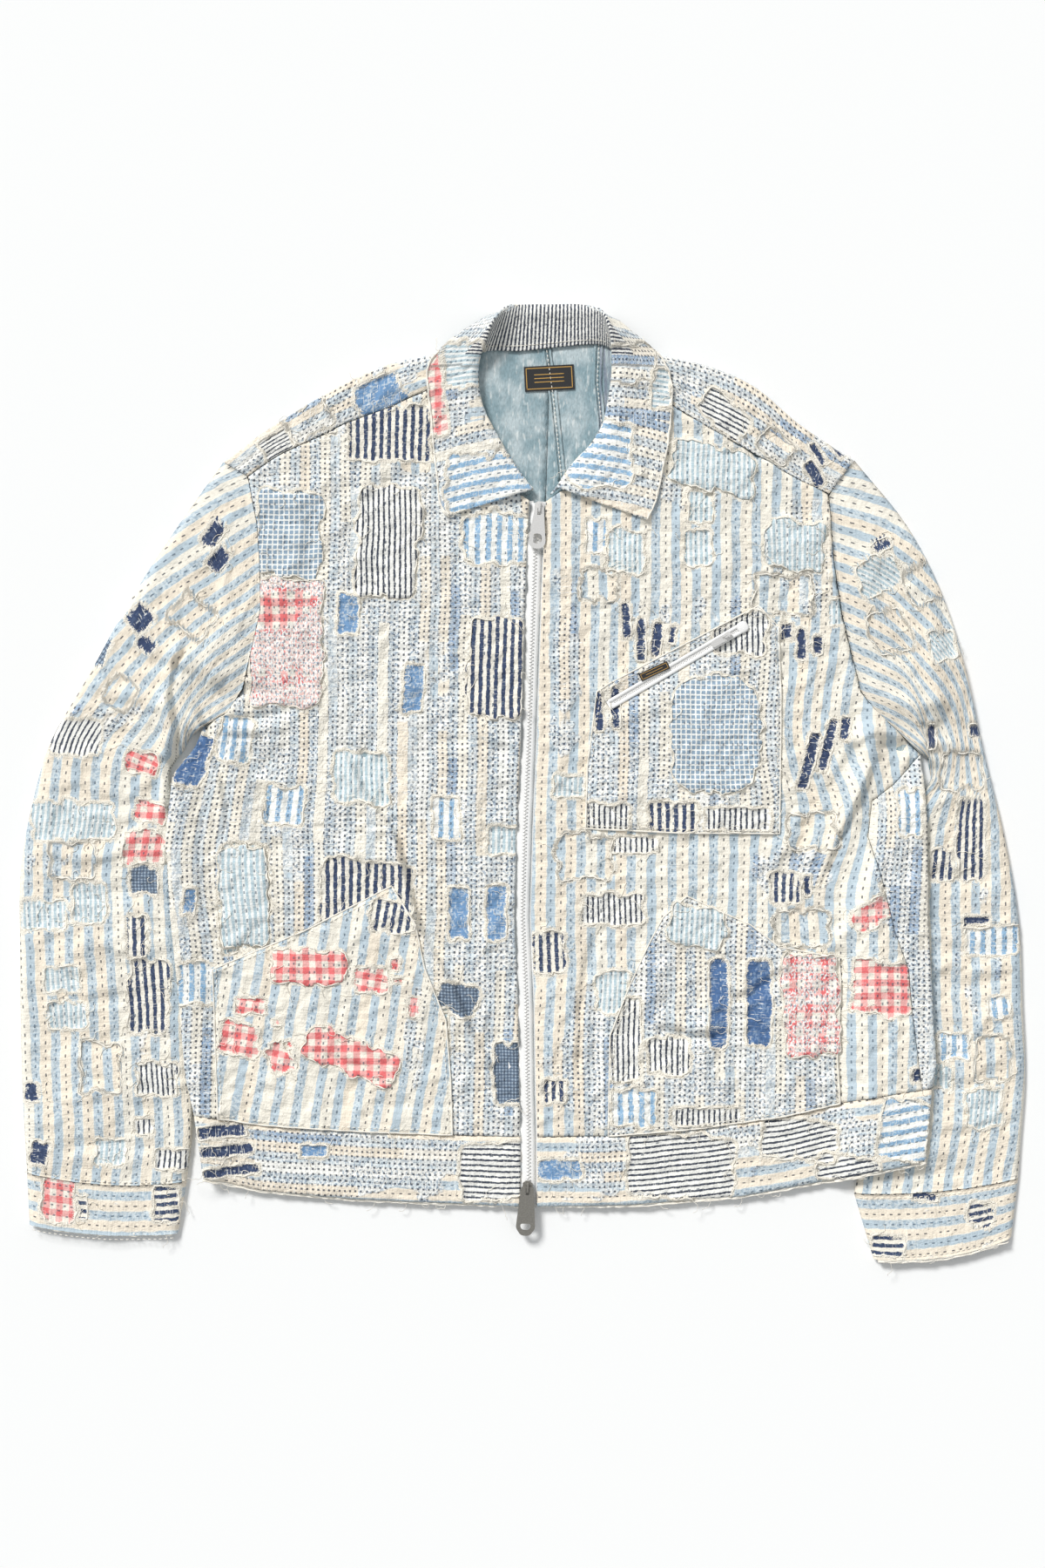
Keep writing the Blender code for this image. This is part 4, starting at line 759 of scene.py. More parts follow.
def ragged(seed, px, py, width, height, turn=0, square=9.0):
    """The worn outline of a hole: a block with uneven sides, whose edge wanders and frays."""
    width, height = width + 1.4, height + 1.4
    count = max(16, int((width + height) * 2 / 1.9))
    t = np.arange(count) * 2 * math.pi / count
    square = square if min(width, height) > LEAST_SQUARE else 5.0
    c, s = np.cos(t), np.sin(t)
    reach = (np.abs(c) ** square + np.abs(s) ** square) ** (-1 / square)
    x, y = reach * c * width / 2, reach * s * height / 2
    ends = np.sign(s) * np.abs(s) ** 4 * min(0.16 * height, 4.5)
    sides = np.sign(c) * np.abs(c) ** 4 * min(0.10 * width, 3.0)
    bars = hashed(np.floor((x + 40) / 6.2).astype(np.int64), np.where(s > 0, seed, -seed), 13)
    steps = hashed(np.floor((y + 40) / 9.0).astype(np.int64), np.where(c > 0, seed, -seed), 14)
    x, y = x + sides * (steps - 0.6), y + ends * (bars - 0.6)
    wander = (0.13 * min(width, height, 36) - 1.0) * noise(x + 31 * seed, y, 13, 11)
    fray = 0.65 * noise(x + 57 * seed, y, 4.6, 12)
    grown = 1 + (wander + fray) / np.hypot(x, y)
    loop = zip(*rotated(x * grown, y * grown, turn, px, py))
    return spaced([(float(a), float(b)) for a, b in loop], HOLE_STEP, closed=True)


def weave_plan(x, y):
    """Stripe coordinates on the body: across the stripes and along them."""
    u = x - ZIP_LEAN * y
    for mx, my, reach, lean in LEANS:
        near = np.exp(-((x - mx) ** 2 + (y - my) ** 2) / reach**2)
        u = u + lean * near * (my - y)
    return u + 1.3 * noise(x, y, 60, 21) + 0.5 * noise(x, y, 24, 24), y + 1.2 * noise(x, y, 45, 22)


def wear_of(node, x, y):
    """How worn the cloth is."""
    base, *spots = WEAR.get(node, (0.0,))
    wear = np.full(np.shape(x), float(base))
    for mx, my, half_width, half_height, amount in spots:
        far = np.hypot((x - mx) / half_width, (y - my) / half_height)
        wear += (amount - wear) * smooth(1.5 - far)
    return wear


def fray_near(x, y, loops):
    """How frayed the cloth is: 1 on an edge, fading outwards and, faster, inwards."""
    fray = np.zeros(np.shape(x))
    for loop in loops:
        near = around(x, y, loop, 2 * FRAY_OUT)
        if near.any():
            nx, ny = x[near], y[near]
            gap, _ = line_gap(nx, ny, loop + loop[:1])
            outer = FRAY_OUT * (1 + 0.6 * noise(nx, ny, 9, 61))
            wide = np.where(inside(nx, ny, loop), FRAY_IN, outer)
            fray[near] = np.maximum(fray[near], smooth(1.15 - gap / wide))
    return fray


# ---- panels that lie flat --------------------------------------------------------------------

trims = {}  # for each trimmed piece, the rims, loose threads and stitches that lie on it


def trim(node):
    return trims.setdefault(node, {"rims": Batch(), "threads": Batch()})


def cut_area(loops):
    """The area within the first outline and outside the others."""
    areas = []
    for loop in loops:
        x, y = np.array(loop).T
        areas.append(abs((x * np.roll(y, -1) - np.roll(x, -1) * y).sum()) / 2)
    return areas[0] - sum(areas[1:])


class Dressing:
    """The materials, holes and fraying of one piece."""

    def __init__(self, node):
        self.node, self.looks = node, [cloths["base"], cloths["lining"]]
        self.holes = [(kind, ragged(k + 7 * len(node), *block))
                      for k, (kind, *block) in enumerate(SPOTS.get(node, ()))]

    def look(self, kind):
        if cloths[kind] not in self.looks:
            self.looks.append(cloths[kind])
        return self.looks.index(cloths[kind])

    def pick(self, x, y, allowed):
        """Each triangle's material, from the middle of the triangle."""
        pick = np.zeros(len(x), int)
        for kind, loop in self.holes:
            hit = inside(x, y, loop) & allowed
            if kind != "under" and hit.any():
                pick[hit] = self.look(kind)
        return pick

    def settle(self, x, y, z, weave):
        """Sinks the holes, lifts their frayed edges and marks both for the materials."""
        loops = [loop for _, loop in self.holes]
        fray = fray_near(x, y, loops)
        deep = np.zeros(np.shape(x), bool)
        for k, (kind, loop) in enumerate(self.holes):
            hit = inside(x, y, loop)
            deep |= hit
            if kind == "under":
                weave[hit, 0] += PITCH * (0.3 + 0.4 * hashed(k, len(self.node), 15))
                weave[hit, 1] += 40.0
        rough = 0.75 + 0.5 * noise(x, y, 4.6, 16)
        weave[:, 2] = np.maximum(weave[:, 2], fray)
        return z + np.where(deep, -HOLE_DEPTH, FRAY_RISE * fray * rough)

    def make(self, verts, faces, pick, weave, x, y, slot, surface, size, area, rests_on,
             within=None, carrier=None):
        """The piece, whose faces are the picked ones, as many inside and the edges."""
        count = len(pick)
        pick = np.r_[pick, np.ones(count, int), np.zeros(len(faces) - 2 * count, int)]
        made = add_mesh(self.node + "_cloth", verts, outward(verts, faces), self.looks, pick,
                        np.tile(weave, (2, 1)), np.tile(wear_of(self.node, x, y), 2))
        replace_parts(made, self.node)
        within = within or outlines(self.node)[0]
        for k, (_, loop) in enumerate(self.holes):
            add_rim(carrier or self.node, loop, surface, k + len(self.node), within)
        return surface


class Panel:
    """One fine triangulation shared by a panel and by all that lies on it."""

    def __init__(self, node, height, weave, step=STEP, over=(), plain=False):
        self.node, self.height = node, height
        self.loops = {piece: outlines(piece) for piece in [node, *over]}
        for piece in over:
            if piece.startswith("patch"):
                self.loops[piece] = [ragged(len(piece), *PATCHES[piece][2:])]
        self.dressings = {piece: Dressing(piece) for piece in self.loops}
        lines = [spaced(loop, step, closed=True) for loops in self.loops.values() for loop in loops]
        if not plain:
            lines += [loop for dressing in self.dressings.values() for _, loop in dressing.holes]
        self.flat, self.tris = triangulate(lines, step)
        self.x, self.y = self.flat.T
        self.z = height(self.x, self.y)
        self.weave = np.stack([*weave(self.x, self.y), np.zeros(len(self.x))], 1)
        self.middle = self.flat[self.tris].mean(1)

    def covers(self, node):
        """Which triangles lie on a node, and not in a hole of it."""
        first, *holes = self.loops[node]
        kept = inside(*self.middle.T, first)
        for hole in holes:
            kept &= ~inside(*self.middle.T, hole)
        return kept

    def piece(self, node, rise, thick, slot, look=None, under_look=None, turn=0.0, floor=None,
              edges=(), rests_on=()):
        """A node's cloth as a closed wall whose top is rise above the panel's own top."""
        kept = self.covers(node)
        dressing = self.dressings[node]
        dressing.looks = [look or cloths["base"], under_look or look or cloths["base"]]
        pick = dressing.pick(*self.middle[kept].T, True)
        used, back = np.unique(self.tris[kept], return_inverse=True)
        tris = back.reshape(-1, 3)
        x, y, weave = self.x[used], self.y[used], self.weave[used].copy()
        weave[:, :2] = np.transpose(rotated(*weave[:, :2].T, turn))
        weave[:, 2] = fray_near(x, y, edges)
        z = dressing.settle(x, y, self.z[used] + rise, weave)
        edge = np.unique(edge_steps(tris))
        under = z - thick if floor is None else np.minimum(z - 0.5, floor(x, y))
        z[edge] -= 0.35 * thick
        under[edge] += 0.1 * thick
        verts, faces = wall(tris, np.c_[x, y, z], np.c_[x, y, np.maximum(under, FLOOR)])
        first = self.loops[node][0]
        return dressing.make(verts, faces, pick, weave, x, y, slot,
                             lambda px, py: self.height(px, py) + rise, np.ptp(first, axis=0),
                             cut_area(self.loops[node]), rests_on, first, self.node)


def add_rim(node, loop, surface, seed, within, thick=0.6):
    """Frayed ropes of cloth here and there along a closed line on a surface, and loose threads."""
    x, y = np.array(spaced(loop, RIM_STEP, closed=True)).T
    show = noise(x + 91 * seed, y, 8.0, 31) + 0.25
    shown = (show > 0) & inside(x, y, within)
    x = x + 0.5 * noise(x, y + 17 * seed, 3.6, 32)
    y = y + 0.5 * noise(x + 17 * seed, y, 3.6, 33)
    starts = np.flatnonzero(shown & ~np.roll(shown, 1)) if not shown.all() else [0]
    for start in starts:
        run = (start + np.arange(len(x))) % len(x)
        run = run[:np.argmin(shown[run])] if not shown.all() else run
        if len(run) < 4:
            continue
        z = surface(x[run], y[run]) + 0.25 + 0.2 * noise(x[run], y[run] + 7 * seed, 4.0, 34)
        radius = thick * np.clip(0.25 + 1.6 * show[run], 0.2, 1.25)
        trim(node)["rims"].rope(np.c_[x[run], y[run], z], radius)
    trim(node)["threads"].frays([p for p in loop if inside(*p, within)], surface, seed)


# ---- sleeves, cuffs, yokes and the collar ----------------------------------------------------

# Armholes, from the armpit up to the shoulder.
ARMHOLE_RIGHT = (
    -255.5, 44, -236.5, 55.5, -224, 75, -217, 107, -210, 138, -210.5, 173, -213, 208, -220, 244.5,
    -240, 256.5,
)
ARMHOLE_LEFT = (
    319, 22, 299.5, 41.5, 281.5, 58.5, 271, 72, 264, 101, 256, 135, 250, 173, 245.5, 230.5, 266,
    258,
)

# Sleeve sections below the armhole: inner edge, middle and outer edge.
SLEEVE_RIGHT = [
    (-265.5, 36, -245, 138, -276.5, 205), (-271.5, 25, -287, 96, -315, 145),
    (-277, 18, -315, 61, -350, 82), (-283, 6.5, -329, 26, -378, 33),
    (-278.5, -23, -336, -21.5, -393.5, -19), (-278, -72, -340, -72, -402.5, -72),
    (-273.5, -127.5, -339, -131, -403, -135), (-268, -184, -336, -191, -402.5, -198),
    (-264, -239.5, -332.5, -250, -400.5, -261), (-265.5, -289, -332.5, -299, -398.5, -296),
    (-269.5, -320, -332.5, -323, -397.5, -313),
]
SLEEVE_LEFT = [
    (326, 18, 297.5, 124, 308, 206), (327, 8, 323.5, 79, 336, 152), (326, -2, 343, 33, 354, 96),
    (309.5, -24, 346.5, -9, 369.5, 26), (292.5, -57.5, 343, -54, 385, -37),
    (280, -107, 338, -107, 397.5, -107), (278.5, -177, 339.5, -177, 401, -177),
    (280, -246.5, 341, -246.5, 403, -239.5), (273.5, -296, 337.5, -296, 399.5, -289),
    (266, -329.5, 332.5, -328, 397.5, -317.5),
]
CUFF_HEM_RIGHT = (-276.5, -362, -336, -363, -395.5, -355)
CUFF_HEM_LEFT = (281.5, -382.5, 339.5, -380.5, 392, -365)
ACROSS = (0.0, 0.03, 0.14, 0.32, 0.5, 0.68, 0.86, 0.97, 1.0)  # where a section's points lie

# Shoulder yokes, from the neck outwards: points of the front seam and of the shoulder's fold.
YOKE_RIGHT = [
    (-51, 320, -49.5, 345), (-77, 313, -75.5, 342.5), (-112, 298, -112, 334),
    (-140, 287.5, -140, 321.5), (-175, 271, -175, 301.5), (-196.5, 261, -210, 279.5),
    (-220, 244.5, -240, 256.5),
]
YOKE_LEFT = [
    (89, 317, 87, 345), (119, 302, 117.5, 341), (147, 285, 148.5, 334), (177, 268, 182, 320),
    (217.5, 244, 224, 286), (245.5, 230.5, 266, 258),
]

# Collar sections from the right front round the neck to the left front: the seam, the roll and
# the outer edge, then the heights of its mid surface at the seam, the top of the stand, the
# roll, the start of the fall and the outer edge. At the back the fall is folded under.
COLLAR = [
    (4, 230, 8.5, 234, -59.5, 212.5, 4.8, 5.8, 8, 10.2, 8.4), (-7.5, 239, 0, 244.5, -65, 220),
    (-20.5, 248, -11, 261.5, -68.5, 245.5), (-30, 265, -22.5, 281, -71.5, 272),
    (-40, 282, -31, 298, -73, 292), (-47, 300, -35.5, 317.5, -75.5, 315.5, 4.6, 6.4, 9, 11.2, 8.6),
    (-47, 319.5, -35, 337, -74, 335.5, 4.6, 8, 12, 13.4, 9),
    (-43.5, 337, -29.5, 352.5, -56.5, 354.5, 4.4, 13, 18, 17.5, 9.4),
    (-35.5, 343.5, -23, 366.5, -40, 365, 4.2, 19, 23, 20, 9),
    (-25, 346, -14, 377.5, -24, 373.5, 3.9, 17, 17.5, 12, 4.5),
    (-3, 345.5, 0, 381.5, -1.5, 356.5, 3.6, 9, 6.5, 2.6, 1.2),
    (22.5, 348, 24, 382, 22.5, 359.5, 3.6, 7.5, 5, 1.8, 1.1),
    (47.5, 350.5, 47.5, 381.5, 49, 362, 3.6, 9, 6.5, 2.6, 1.2),
    (62.5, 351, 62.5, 375.5, 71.5, 371.5, 3.9, 16, 17, 12, 4.5),
    (72, 347, 69.5, 361, 90.5, 357.5, 4.2, 17, 21, 19, 9),
    (79, 338, 72, 343.5, 108.5, 342.5, 4.4, 11, 15, 15, 9.2),
    (84.5, 318, 71.5, 324.5, 118.5, 322.5, 4.6, 7, 10, 12, 8.8), (82, 300, 68.5, 304, 119, 297),
    (75, 282.5, 65, 288, 117, 275), (60, 263.5, 55.5, 271, 112, 250),
    (44, 247.5, 39, 253, 107, 227), (22.5, 230.5, 27.5, 235.5, 100, 209.5, 4.8, 5.8, 8, 10.2, 8.4),
]
COLLAR_HEIGHTS = 4.6, 5.8, 8.0, 10.2, 8.4  # of the sections that name none
COLLAR_WIDE = 85.0  # from the seam over the roll to the outer edge


SOFT_SIDE, CALM_SIDE = 5.0, 9.0  # how far in a tube is round, and its creases are low
INNER_SHARE = 0.62  # how far from the middle a tube's inner wall lies, against the outer one
NECK_X, NECK_Y = 22, 345  # the middle of the neck, and where the collar goes behind it


def bowed(section):
    """The points across a section that passes through its inner edge, middle and outer edge."""
    a, b, c = (np.array(p, float) for p in pairs(section))
    return [a * (2 * t - 1) * (t - 1) + b * 4 * t * (1 - t) + c * t * (2 * t - 1) for t in ACROSS]


def grid_tris(rows, columns, wrap=False):
    """The triangles of a grid of points, joined from its last column to its first if it wraps."""
    i = np.arange(rows - 1)[:, None]
    k = np.arange(columns if wrap else columns - 1)[None]
    a, b = i * columns + k, i * columns + (k + 1) % columns
    c, d = a + columns, b + columns
    return np.concatenate([np.stack([a, c, b], -1).reshape(-1, 3),
                           np.stack([b, c, d], -1).reshape(-1, 3)])


def outward(verts, tris):
    """The triangles, turned round if the closed shape they make is inside out."""
    a, b, c = (np.asarray(verts)[tris[:, k]] for k in range(3))
    return tris if (a * np.cross(b, c)).sum() > 0 else tris[:, ::-1]


def across(line, count):
    """A line of points resampled to count even places."""
    line = np.asarray(line, float)
    at = np.r_[0, np.cumsum(np.linalg.norm(np.diff(line, axis=0), axis=1))]
    where = np.linspace(0, at[-1], count)
    return np.stack([np.interp(where, at, line[:, k]) for k in range(line.shape[1])], 1)


def even_grid(rows, columns, length, width):
    """How far down and across the points of an even grid lie."""
    return np.meshgrid(np.linspace(0, length, rows), np.linspace(0, width, columns), indexing="ij")


def weave_grid(u, v):
    """What the materials read, for a grid of points: stripe coordinates and no fraying yet."""
    return np.stack([u, v, 0 * u], -1).reshape(-1, 3)


class Scattered:
    """Heights known at scattered points, read at the nearest few."""

    def __init__(self, points):
        self.tree, self.z = tree_of(points), points[:, 2]

    def __call__(self, x, y):
        heights = []
        for px, py in zip(np.ravel(x), np.ravel(y)):
            found = [(self.z[k], 1 / (gap + 0.2)) for _, k, gap in self.tree.find_n((px, py, 0), 3)]
            heights.append(sum(z * w for z, w in found) / sum(w for _, w in found))
        return np.array(heights)


def tube(node, sections, amount, table, turned=False):
    """A flattened tube of cloth with soft sides, open at both ends."""
    sections = np.array(sections, float)
    length = length_of(sections[:, 4])
    plan = spline(sections, int(length / STEP))
    wide = np.linalg.norm(np.diff(plan, axis=1), axis=2).sum(1).mean()
    plan = np.array([across(row, int(wide / STEP)) for row in plan])
    rows, columns = plan.shape[:2]
    x, y = plan[..., 0], plan[..., 1]
    widths = np.linalg.norm(np.diff(plan, axis=1), axis=2)
    at = np.concatenate([np.zeros((rows, 1)), np.cumsum(widths, 1)], 1)
    far = np.minimum(at, at[:, -1:] - at)  # from the nearer side of the tube
    u = at - at[:, -1:] / 2 + 1.2 * noise(x, y, 50, 23) + 0.5 * noise(x, y, 22, 25)
    v = np.linspace(0, length, rows)[:, None] + 0 * at
    weave = weave_grid(v, u) if turned else weave_grid(u, v)
    top = HeightMap([node], 4.0)(x, y)
    half = top.mean() / 2
    side = np.sqrt(np.clip(1 - (1 - np.minimum(far / SOFT_SIDE, 1)) ** 2, 0, 1))
    relief = creases(x, y, table) + folds(x, y) + wrinkles(x, y) + 0.9 * puckers(u, v)
    relief = amount * smooth(far / CALM_SIDE) * np.maximum(relief, DEEPEST)
    over = (half + (top - half) * side + relief * side).ravel()
    dressing = Dressing(node)
    over = dressing.settle(x.ravel(), y.ravel(), over, weave)
    over = np.maximum(over, half + 1.3 * side.ravel())
    low = half - half * side + 0.5 * (1 + noise(x, y, 26, 41)) * side * 0.6
    back = np.r_[np.arange(columns), np.arange(columns - 2, 0, -1)]  # over the top, under the rest
    size = len(back)
    outer_z = np.concatenate([over.reshape(rows, columns), low[:, -2:0:-1]], 1)
    pulled = (far < 0.9) * np.where(at < at[:, -1:] / 2, 0.9, -0.9)
    way = plan[:, -1] - plan[:, 0]
    way /= np.linalg.norm(way, axis=1, keepdims=True)
    inner_plan = plan + pulled[..., None] * way[:, None]
    outer = np.concatenate([plan[:, back], np.maximum(outer_z, FLOOR)[..., None]], 2).reshape(-1, 3)
    inner_z = np.maximum(half + (outer_z - half) * INNER_SHARE, 2 * FLOOR)[..., None]
    inner = np.concatenate([inner_plan[:, back], inner_z], 2).reshape(-1, 3)
    tris = grid_tris(rows, size, wrap=True)
    ends = []
    for row in (0, rows - 1):
        a, b = row * size + np.arange(size), row * size + (np.arange(size) + 1) % size
        c, d = a + len(outer), b + len(outer)
        pair = np.concatenate([np.c_[a, b, c], np.c_[b, d, c]])
        ends.append(pair if row else pair[:, ::-1])
    verts = np.concatenate([outer, inner])
    faces = np.concatenate([tris, tris[:, ::-1] + len(outer), *ends])
    middle = outer[tris].mean(1)
    pick = dressing.pick(middle[:, 0], middle[:, 1], (tris % size < columns).all(1))
    weave = weave.reshape(rows, columns, 3)[:, back].reshape(-1, 3)
    area = 2 * (widths.sum() * length / rows)
    return dressing.make(verts, faces, pick, weave, *outer[:, :2].T, "cream_stripe",
                         Scattered(np.c_[plan.reshape(-1, 2), over]), (2 * wide, length), area, [])


def folded(node, mid, weave, thick, size, inner=None):
    """A closed wall of even thickness around a fine grid of mid points."""
    columns = mid.shape[1]
    normal = unit(np.cross(np.gradient(mid, axis=0), np.gradient(mid, axis=1)))
    tris = grid_tris(*mid.shape[:2])
    dressing = Dressing(node)
    flat = mid.reshape(-1, 3).copy()
    shown = (np.abs(normal[..., 2]) > 0.3).ravel() & (flat[:, 2] > 3.0)
    lifted = dressing.settle(flat[:, 0], flat[:, 1], flat[:, 2], weave)
    flat[:, 2] = np.where(shown, lifted, flat[:, 2])
    push = normal.reshape(-1, 3) * thick / 2
    if push[len(push) // 2, 2] < 0:
        push = -push
    verts, faces = wall(tris, flat + push, flat - push)
    verts[:, 2] = np.maximum(verts[:, 2], FLOOR / 2)
    centre = flat[tris].mean(1)
    pick = dressing.pick(centre[:, 0], centre[:, 1], shown[tris].all(1))
    if inner is not None:
        pick[inner(centre, (tris % columns).mean(1) / columns)] = dressing.look("inner")
    return dressing.make(verts, faces, pick, weave, *flat[:, :2].T, "worn_boro",
                         Scattered(flat[shown] + (0, 0, thick / 2)), size,
                         0.92 * size[0] * size[1], [])


# ---- materials -------------------------------------------------------------------------------


def linear(red, green, blue):
    """A screen colour, 0 to 255, as the light that a shader works with."""
    parts = [c / 255 for c in (red, green, blue)]
    parts = [c / 12.92 if c <= 0.04045 else ((c + 0.055) / 1.055) ** 2.4 for c in parts]
    return (*parts, 1.0)


CREAM, TAN, WHITE = linear(252, 247, 234), linear(251, 240, 222), linear(253, 253, 248)
PALE, ICE, GREY_BLUE = linear(243, 246, 244), linear(187, 209, 218), linear(167, 182, 197)
SKY, SKY_DARK, SKY_LIGHT = linear(196, 212, 222), linear(172, 191, 205), linear(220, 230, 234)
MID_BLUE, BRIGHT_BLUE, NAVY = linear(120, 158, 199), linear(150, 188, 220), linear(64, 77, 108)
INK, STEEL, SLATE = linear(70, 76, 90), linear(106, 116, 130), linear(110, 128, 146)
RED, PINK, ROSE = linear(238, 122, 124), linear(249, 188, 183), linear(249, 212, 204)
# PAINTED_THREAD_SHADE is painted shade for the gaps between frayed threads; GOLD is the labels'
# gold thread
PAINTED_THREAD_SHADE, GOLD = linear(216, 208, 194), linear(212, 168, 92)


def operator(operation, swapped=False):
    """A method of Num that adds a node for one operation."""
    return lambda self, *other: self.shade.math(
        operation, *((*other, self) if swapped else (self, *other)))


class Num:
    """A number in a material's nodes; arithmetic on it adds nodes."""

    __add__ = __radd__ = operator("ADD")
    __sub__, __rsub__ = operator("SUBTRACT"), operator("SUBTRACT", swapped=True)
    __mul__ = __rmul__ = operator("MULTIPLY")
    __truediv__ = operator("DIVIDE")
    frac, floor, abs = operator("FRACT"), operator("FLOOR"), operator("ABSOLUTE")
    most = operator("MAXIMUM")

    def __init__(self, shade, socket):
        self.shade, self.socket = shade, socket

    def beat(self):
        """How far the number is from halfway between two whole ones, from 0 to 0.5."""
        return (self.frac() - 0.5).abs()

    def rise(self, low, high):
        """0 below low and 1 above high, or the other way round where low is above high."""
        if low > high:
            return 1 - self.rise(high, low)
        values = {"Value": self, "From Min": low, "From Max": high}
        return self.shade.add("ShaderNodeMapRange", "Result", values,
                              interpolation_type="SMOOTHSTEP")


class Shade:
    """A material under construction."""

    def __init__(self, name):
        self.material = bpy.data.materials.new(name)
        self.material.use_nodes = True
        self.tree = self.material.node_tree

    def fill(self, node, values):
        """Gives a node's inputs, by name or place, their values."""
        for key, value in values.items():
            if isinstance(value, Num):
                self.tree.links.new(value.socket, node.inputs[key])
            else:
                node.inputs[key].default_value = value

    def add(self, kind, output, values, **settings):
        """An output of a new node."""
        node = self.tree.nodes.new(kind)
        for key, value in settings.items():
            setattr(node, key, value)
        self.fill(node, values)
        return Num(self, node.outputs[output])

    def math(self, operation, *values):
        return self.add("ShaderNodeMath", 0, dict(enumerate(values)), operation=operation)

    def split(self, vector):
        first = self.add("ShaderNodeSeparateXYZ", 0, {0: vector})
        return [Num(self, part) for part in first.socket.node.outputs]

    def weave(self):
        """Millimetres across the stripes and along them, and how frayed the cloth is."""
        return self.split(self.add("ShaderNodeAttribute", "Vector", {}, attribute_name="weave"))

    def wear(self):
        return self.add("ShaderNodeAttribute", "Fac", {}, attribute_name="wear")

    def place(self):
        """The place on the object, in millimetres."""
        return [part * 1000 for part in self.split(self.add("ShaderNodeTexCoord", "Object", {}))]

    def noise(self, u, v, wide, tall=None, detail=1.0):
        """Clouds from 0 to 1, wide across and tall along, in the same unit as u and v."""
        place = self.add("ShaderNodeCombineXYZ", 0, {0: u / wide, 1: v / (tall or wide)})
        values = {"Vector": place, "Scale": 1.0, "Detail": detail}
        return self.add("ShaderNodeTexNoise", "Fac", values, noise_dimensions="2D")

    def chance(self, number):
        """A number from 0 to 1 that jumps with each whole number."""
        return self.add("ShaderNodeTexWhiteNoise", "Value", {"W": number}, noise_dimensions="1D")

    def mix(self, share, a, b):
        """The colour a, or b where share is 1."""
        return self.add("ShaderNodeMix", 2, {0: share, 6: a, 7: b}, data_type="RGBA")

    def tint(self, colour, strength, amount):
        """The colour made darker or lighter by amount, where strength goes from 0 to 1."""
        bright = (strength - 0.5) * 2 * amount + 1
        colour = colour if isinstance(colour, Num) else colour[:3]
        return self.add("ShaderNodeVectorMath", 0, {0: colour, "Scale": bright}, operation="SCALE")

    def finish(self, colour, roughness, height=None, depth=0.3, metallic=0.0, sheen=0.0):
        values = {"Base Color": colour, "Roughness": roughness, "Metallic": metallic}
        if sheen:
            values |= {"Sheen Weight": sheen, "Sheen Roughness": 0.5, "Specular IOR Level": 0.2}
        if height is not None:
            bump = {"Strength": 0.8, "Distance": depth * MM, "Height": height}
            values["Normal"] = self.add("ShaderNodeBump", 0, bump)
        self.fill(self.tree.nodes["Principled BSDF"], values)
        return self.material


def stitches(shade, u, v, keep=0.42, row=ROW, step=STITCH, wide=0.5, long=0.17):
    """Rows of running stitches along the stripes: 1 on a stitch."""
    turn = u / row + 0.5
    near, index = turn.beat() * row, turn.floor()
    place = v / step + shade.noise(index * 3.7, v, 1.0, 35.0) * 1.2
    along = place.beat()
    luck = shade.chance(index * 1.37 + place.floor() * 0.731) * 0.5
    there = (luck + shade.noise(index * 5.1, v, 1.0, 60.0)).rise(keep - 0.03, keep + 0.03)
    return near.rise(wide + 0.25, wide - 0.2) * along.rise(long + 0.05, long - 0.04) * there


def finish_cloth(shade, colour, u, v, fray, height=None):
    """Frayed edges with painted shade between their threads, slubs, fine crinkles with painted
    shade in their hollows and painted light on their tops, and the weave that all the cloths share.
    """
    rough = shade.noise(u, v, 1.1, 1.0, 2.0)
    # the frayed threads are cream, with painted shade in the gaps between them where the rough
    # clouds are low
    threads = shade.mix(rough.rise(0.36, 0.48), PAINTED_THREAD_SHADE, CREAM)
    colour = shade.mix((fray + (rough - 0.5) * 1.2).rise(0.38, 0.6), colour, threads)
    crinkle_bump_and_shade = shade.noise(u, v, 13.0, 1.7, 2.0)
    # painted shade and light: the colour follows the crinkles' bump, darker in their hollows and
    # lighter on their tops
    colour = shade.tint(colour, crinkle_bump_and_shade, 0.09)
    colour = shade.tint(colour, shade.noise(u, v, 34.0, 60.0, 2.0), 0.05)
    weave = shade.noise(u, v, 0.55, 1.6, 1.0)
    colour = shade.tint(colour, weave, 0.08)
    bump = weave * 0.5 + shade.noise(u, v, 2.4, 3.4, 1.0) + crinkle_bump_and_shade * 0.8 + rough * fray * 1.5
    if height is not None:
        bump = bump + height
    return shade.finish(colour, 0.92, bump, depth=0.75, sheen=0.1)


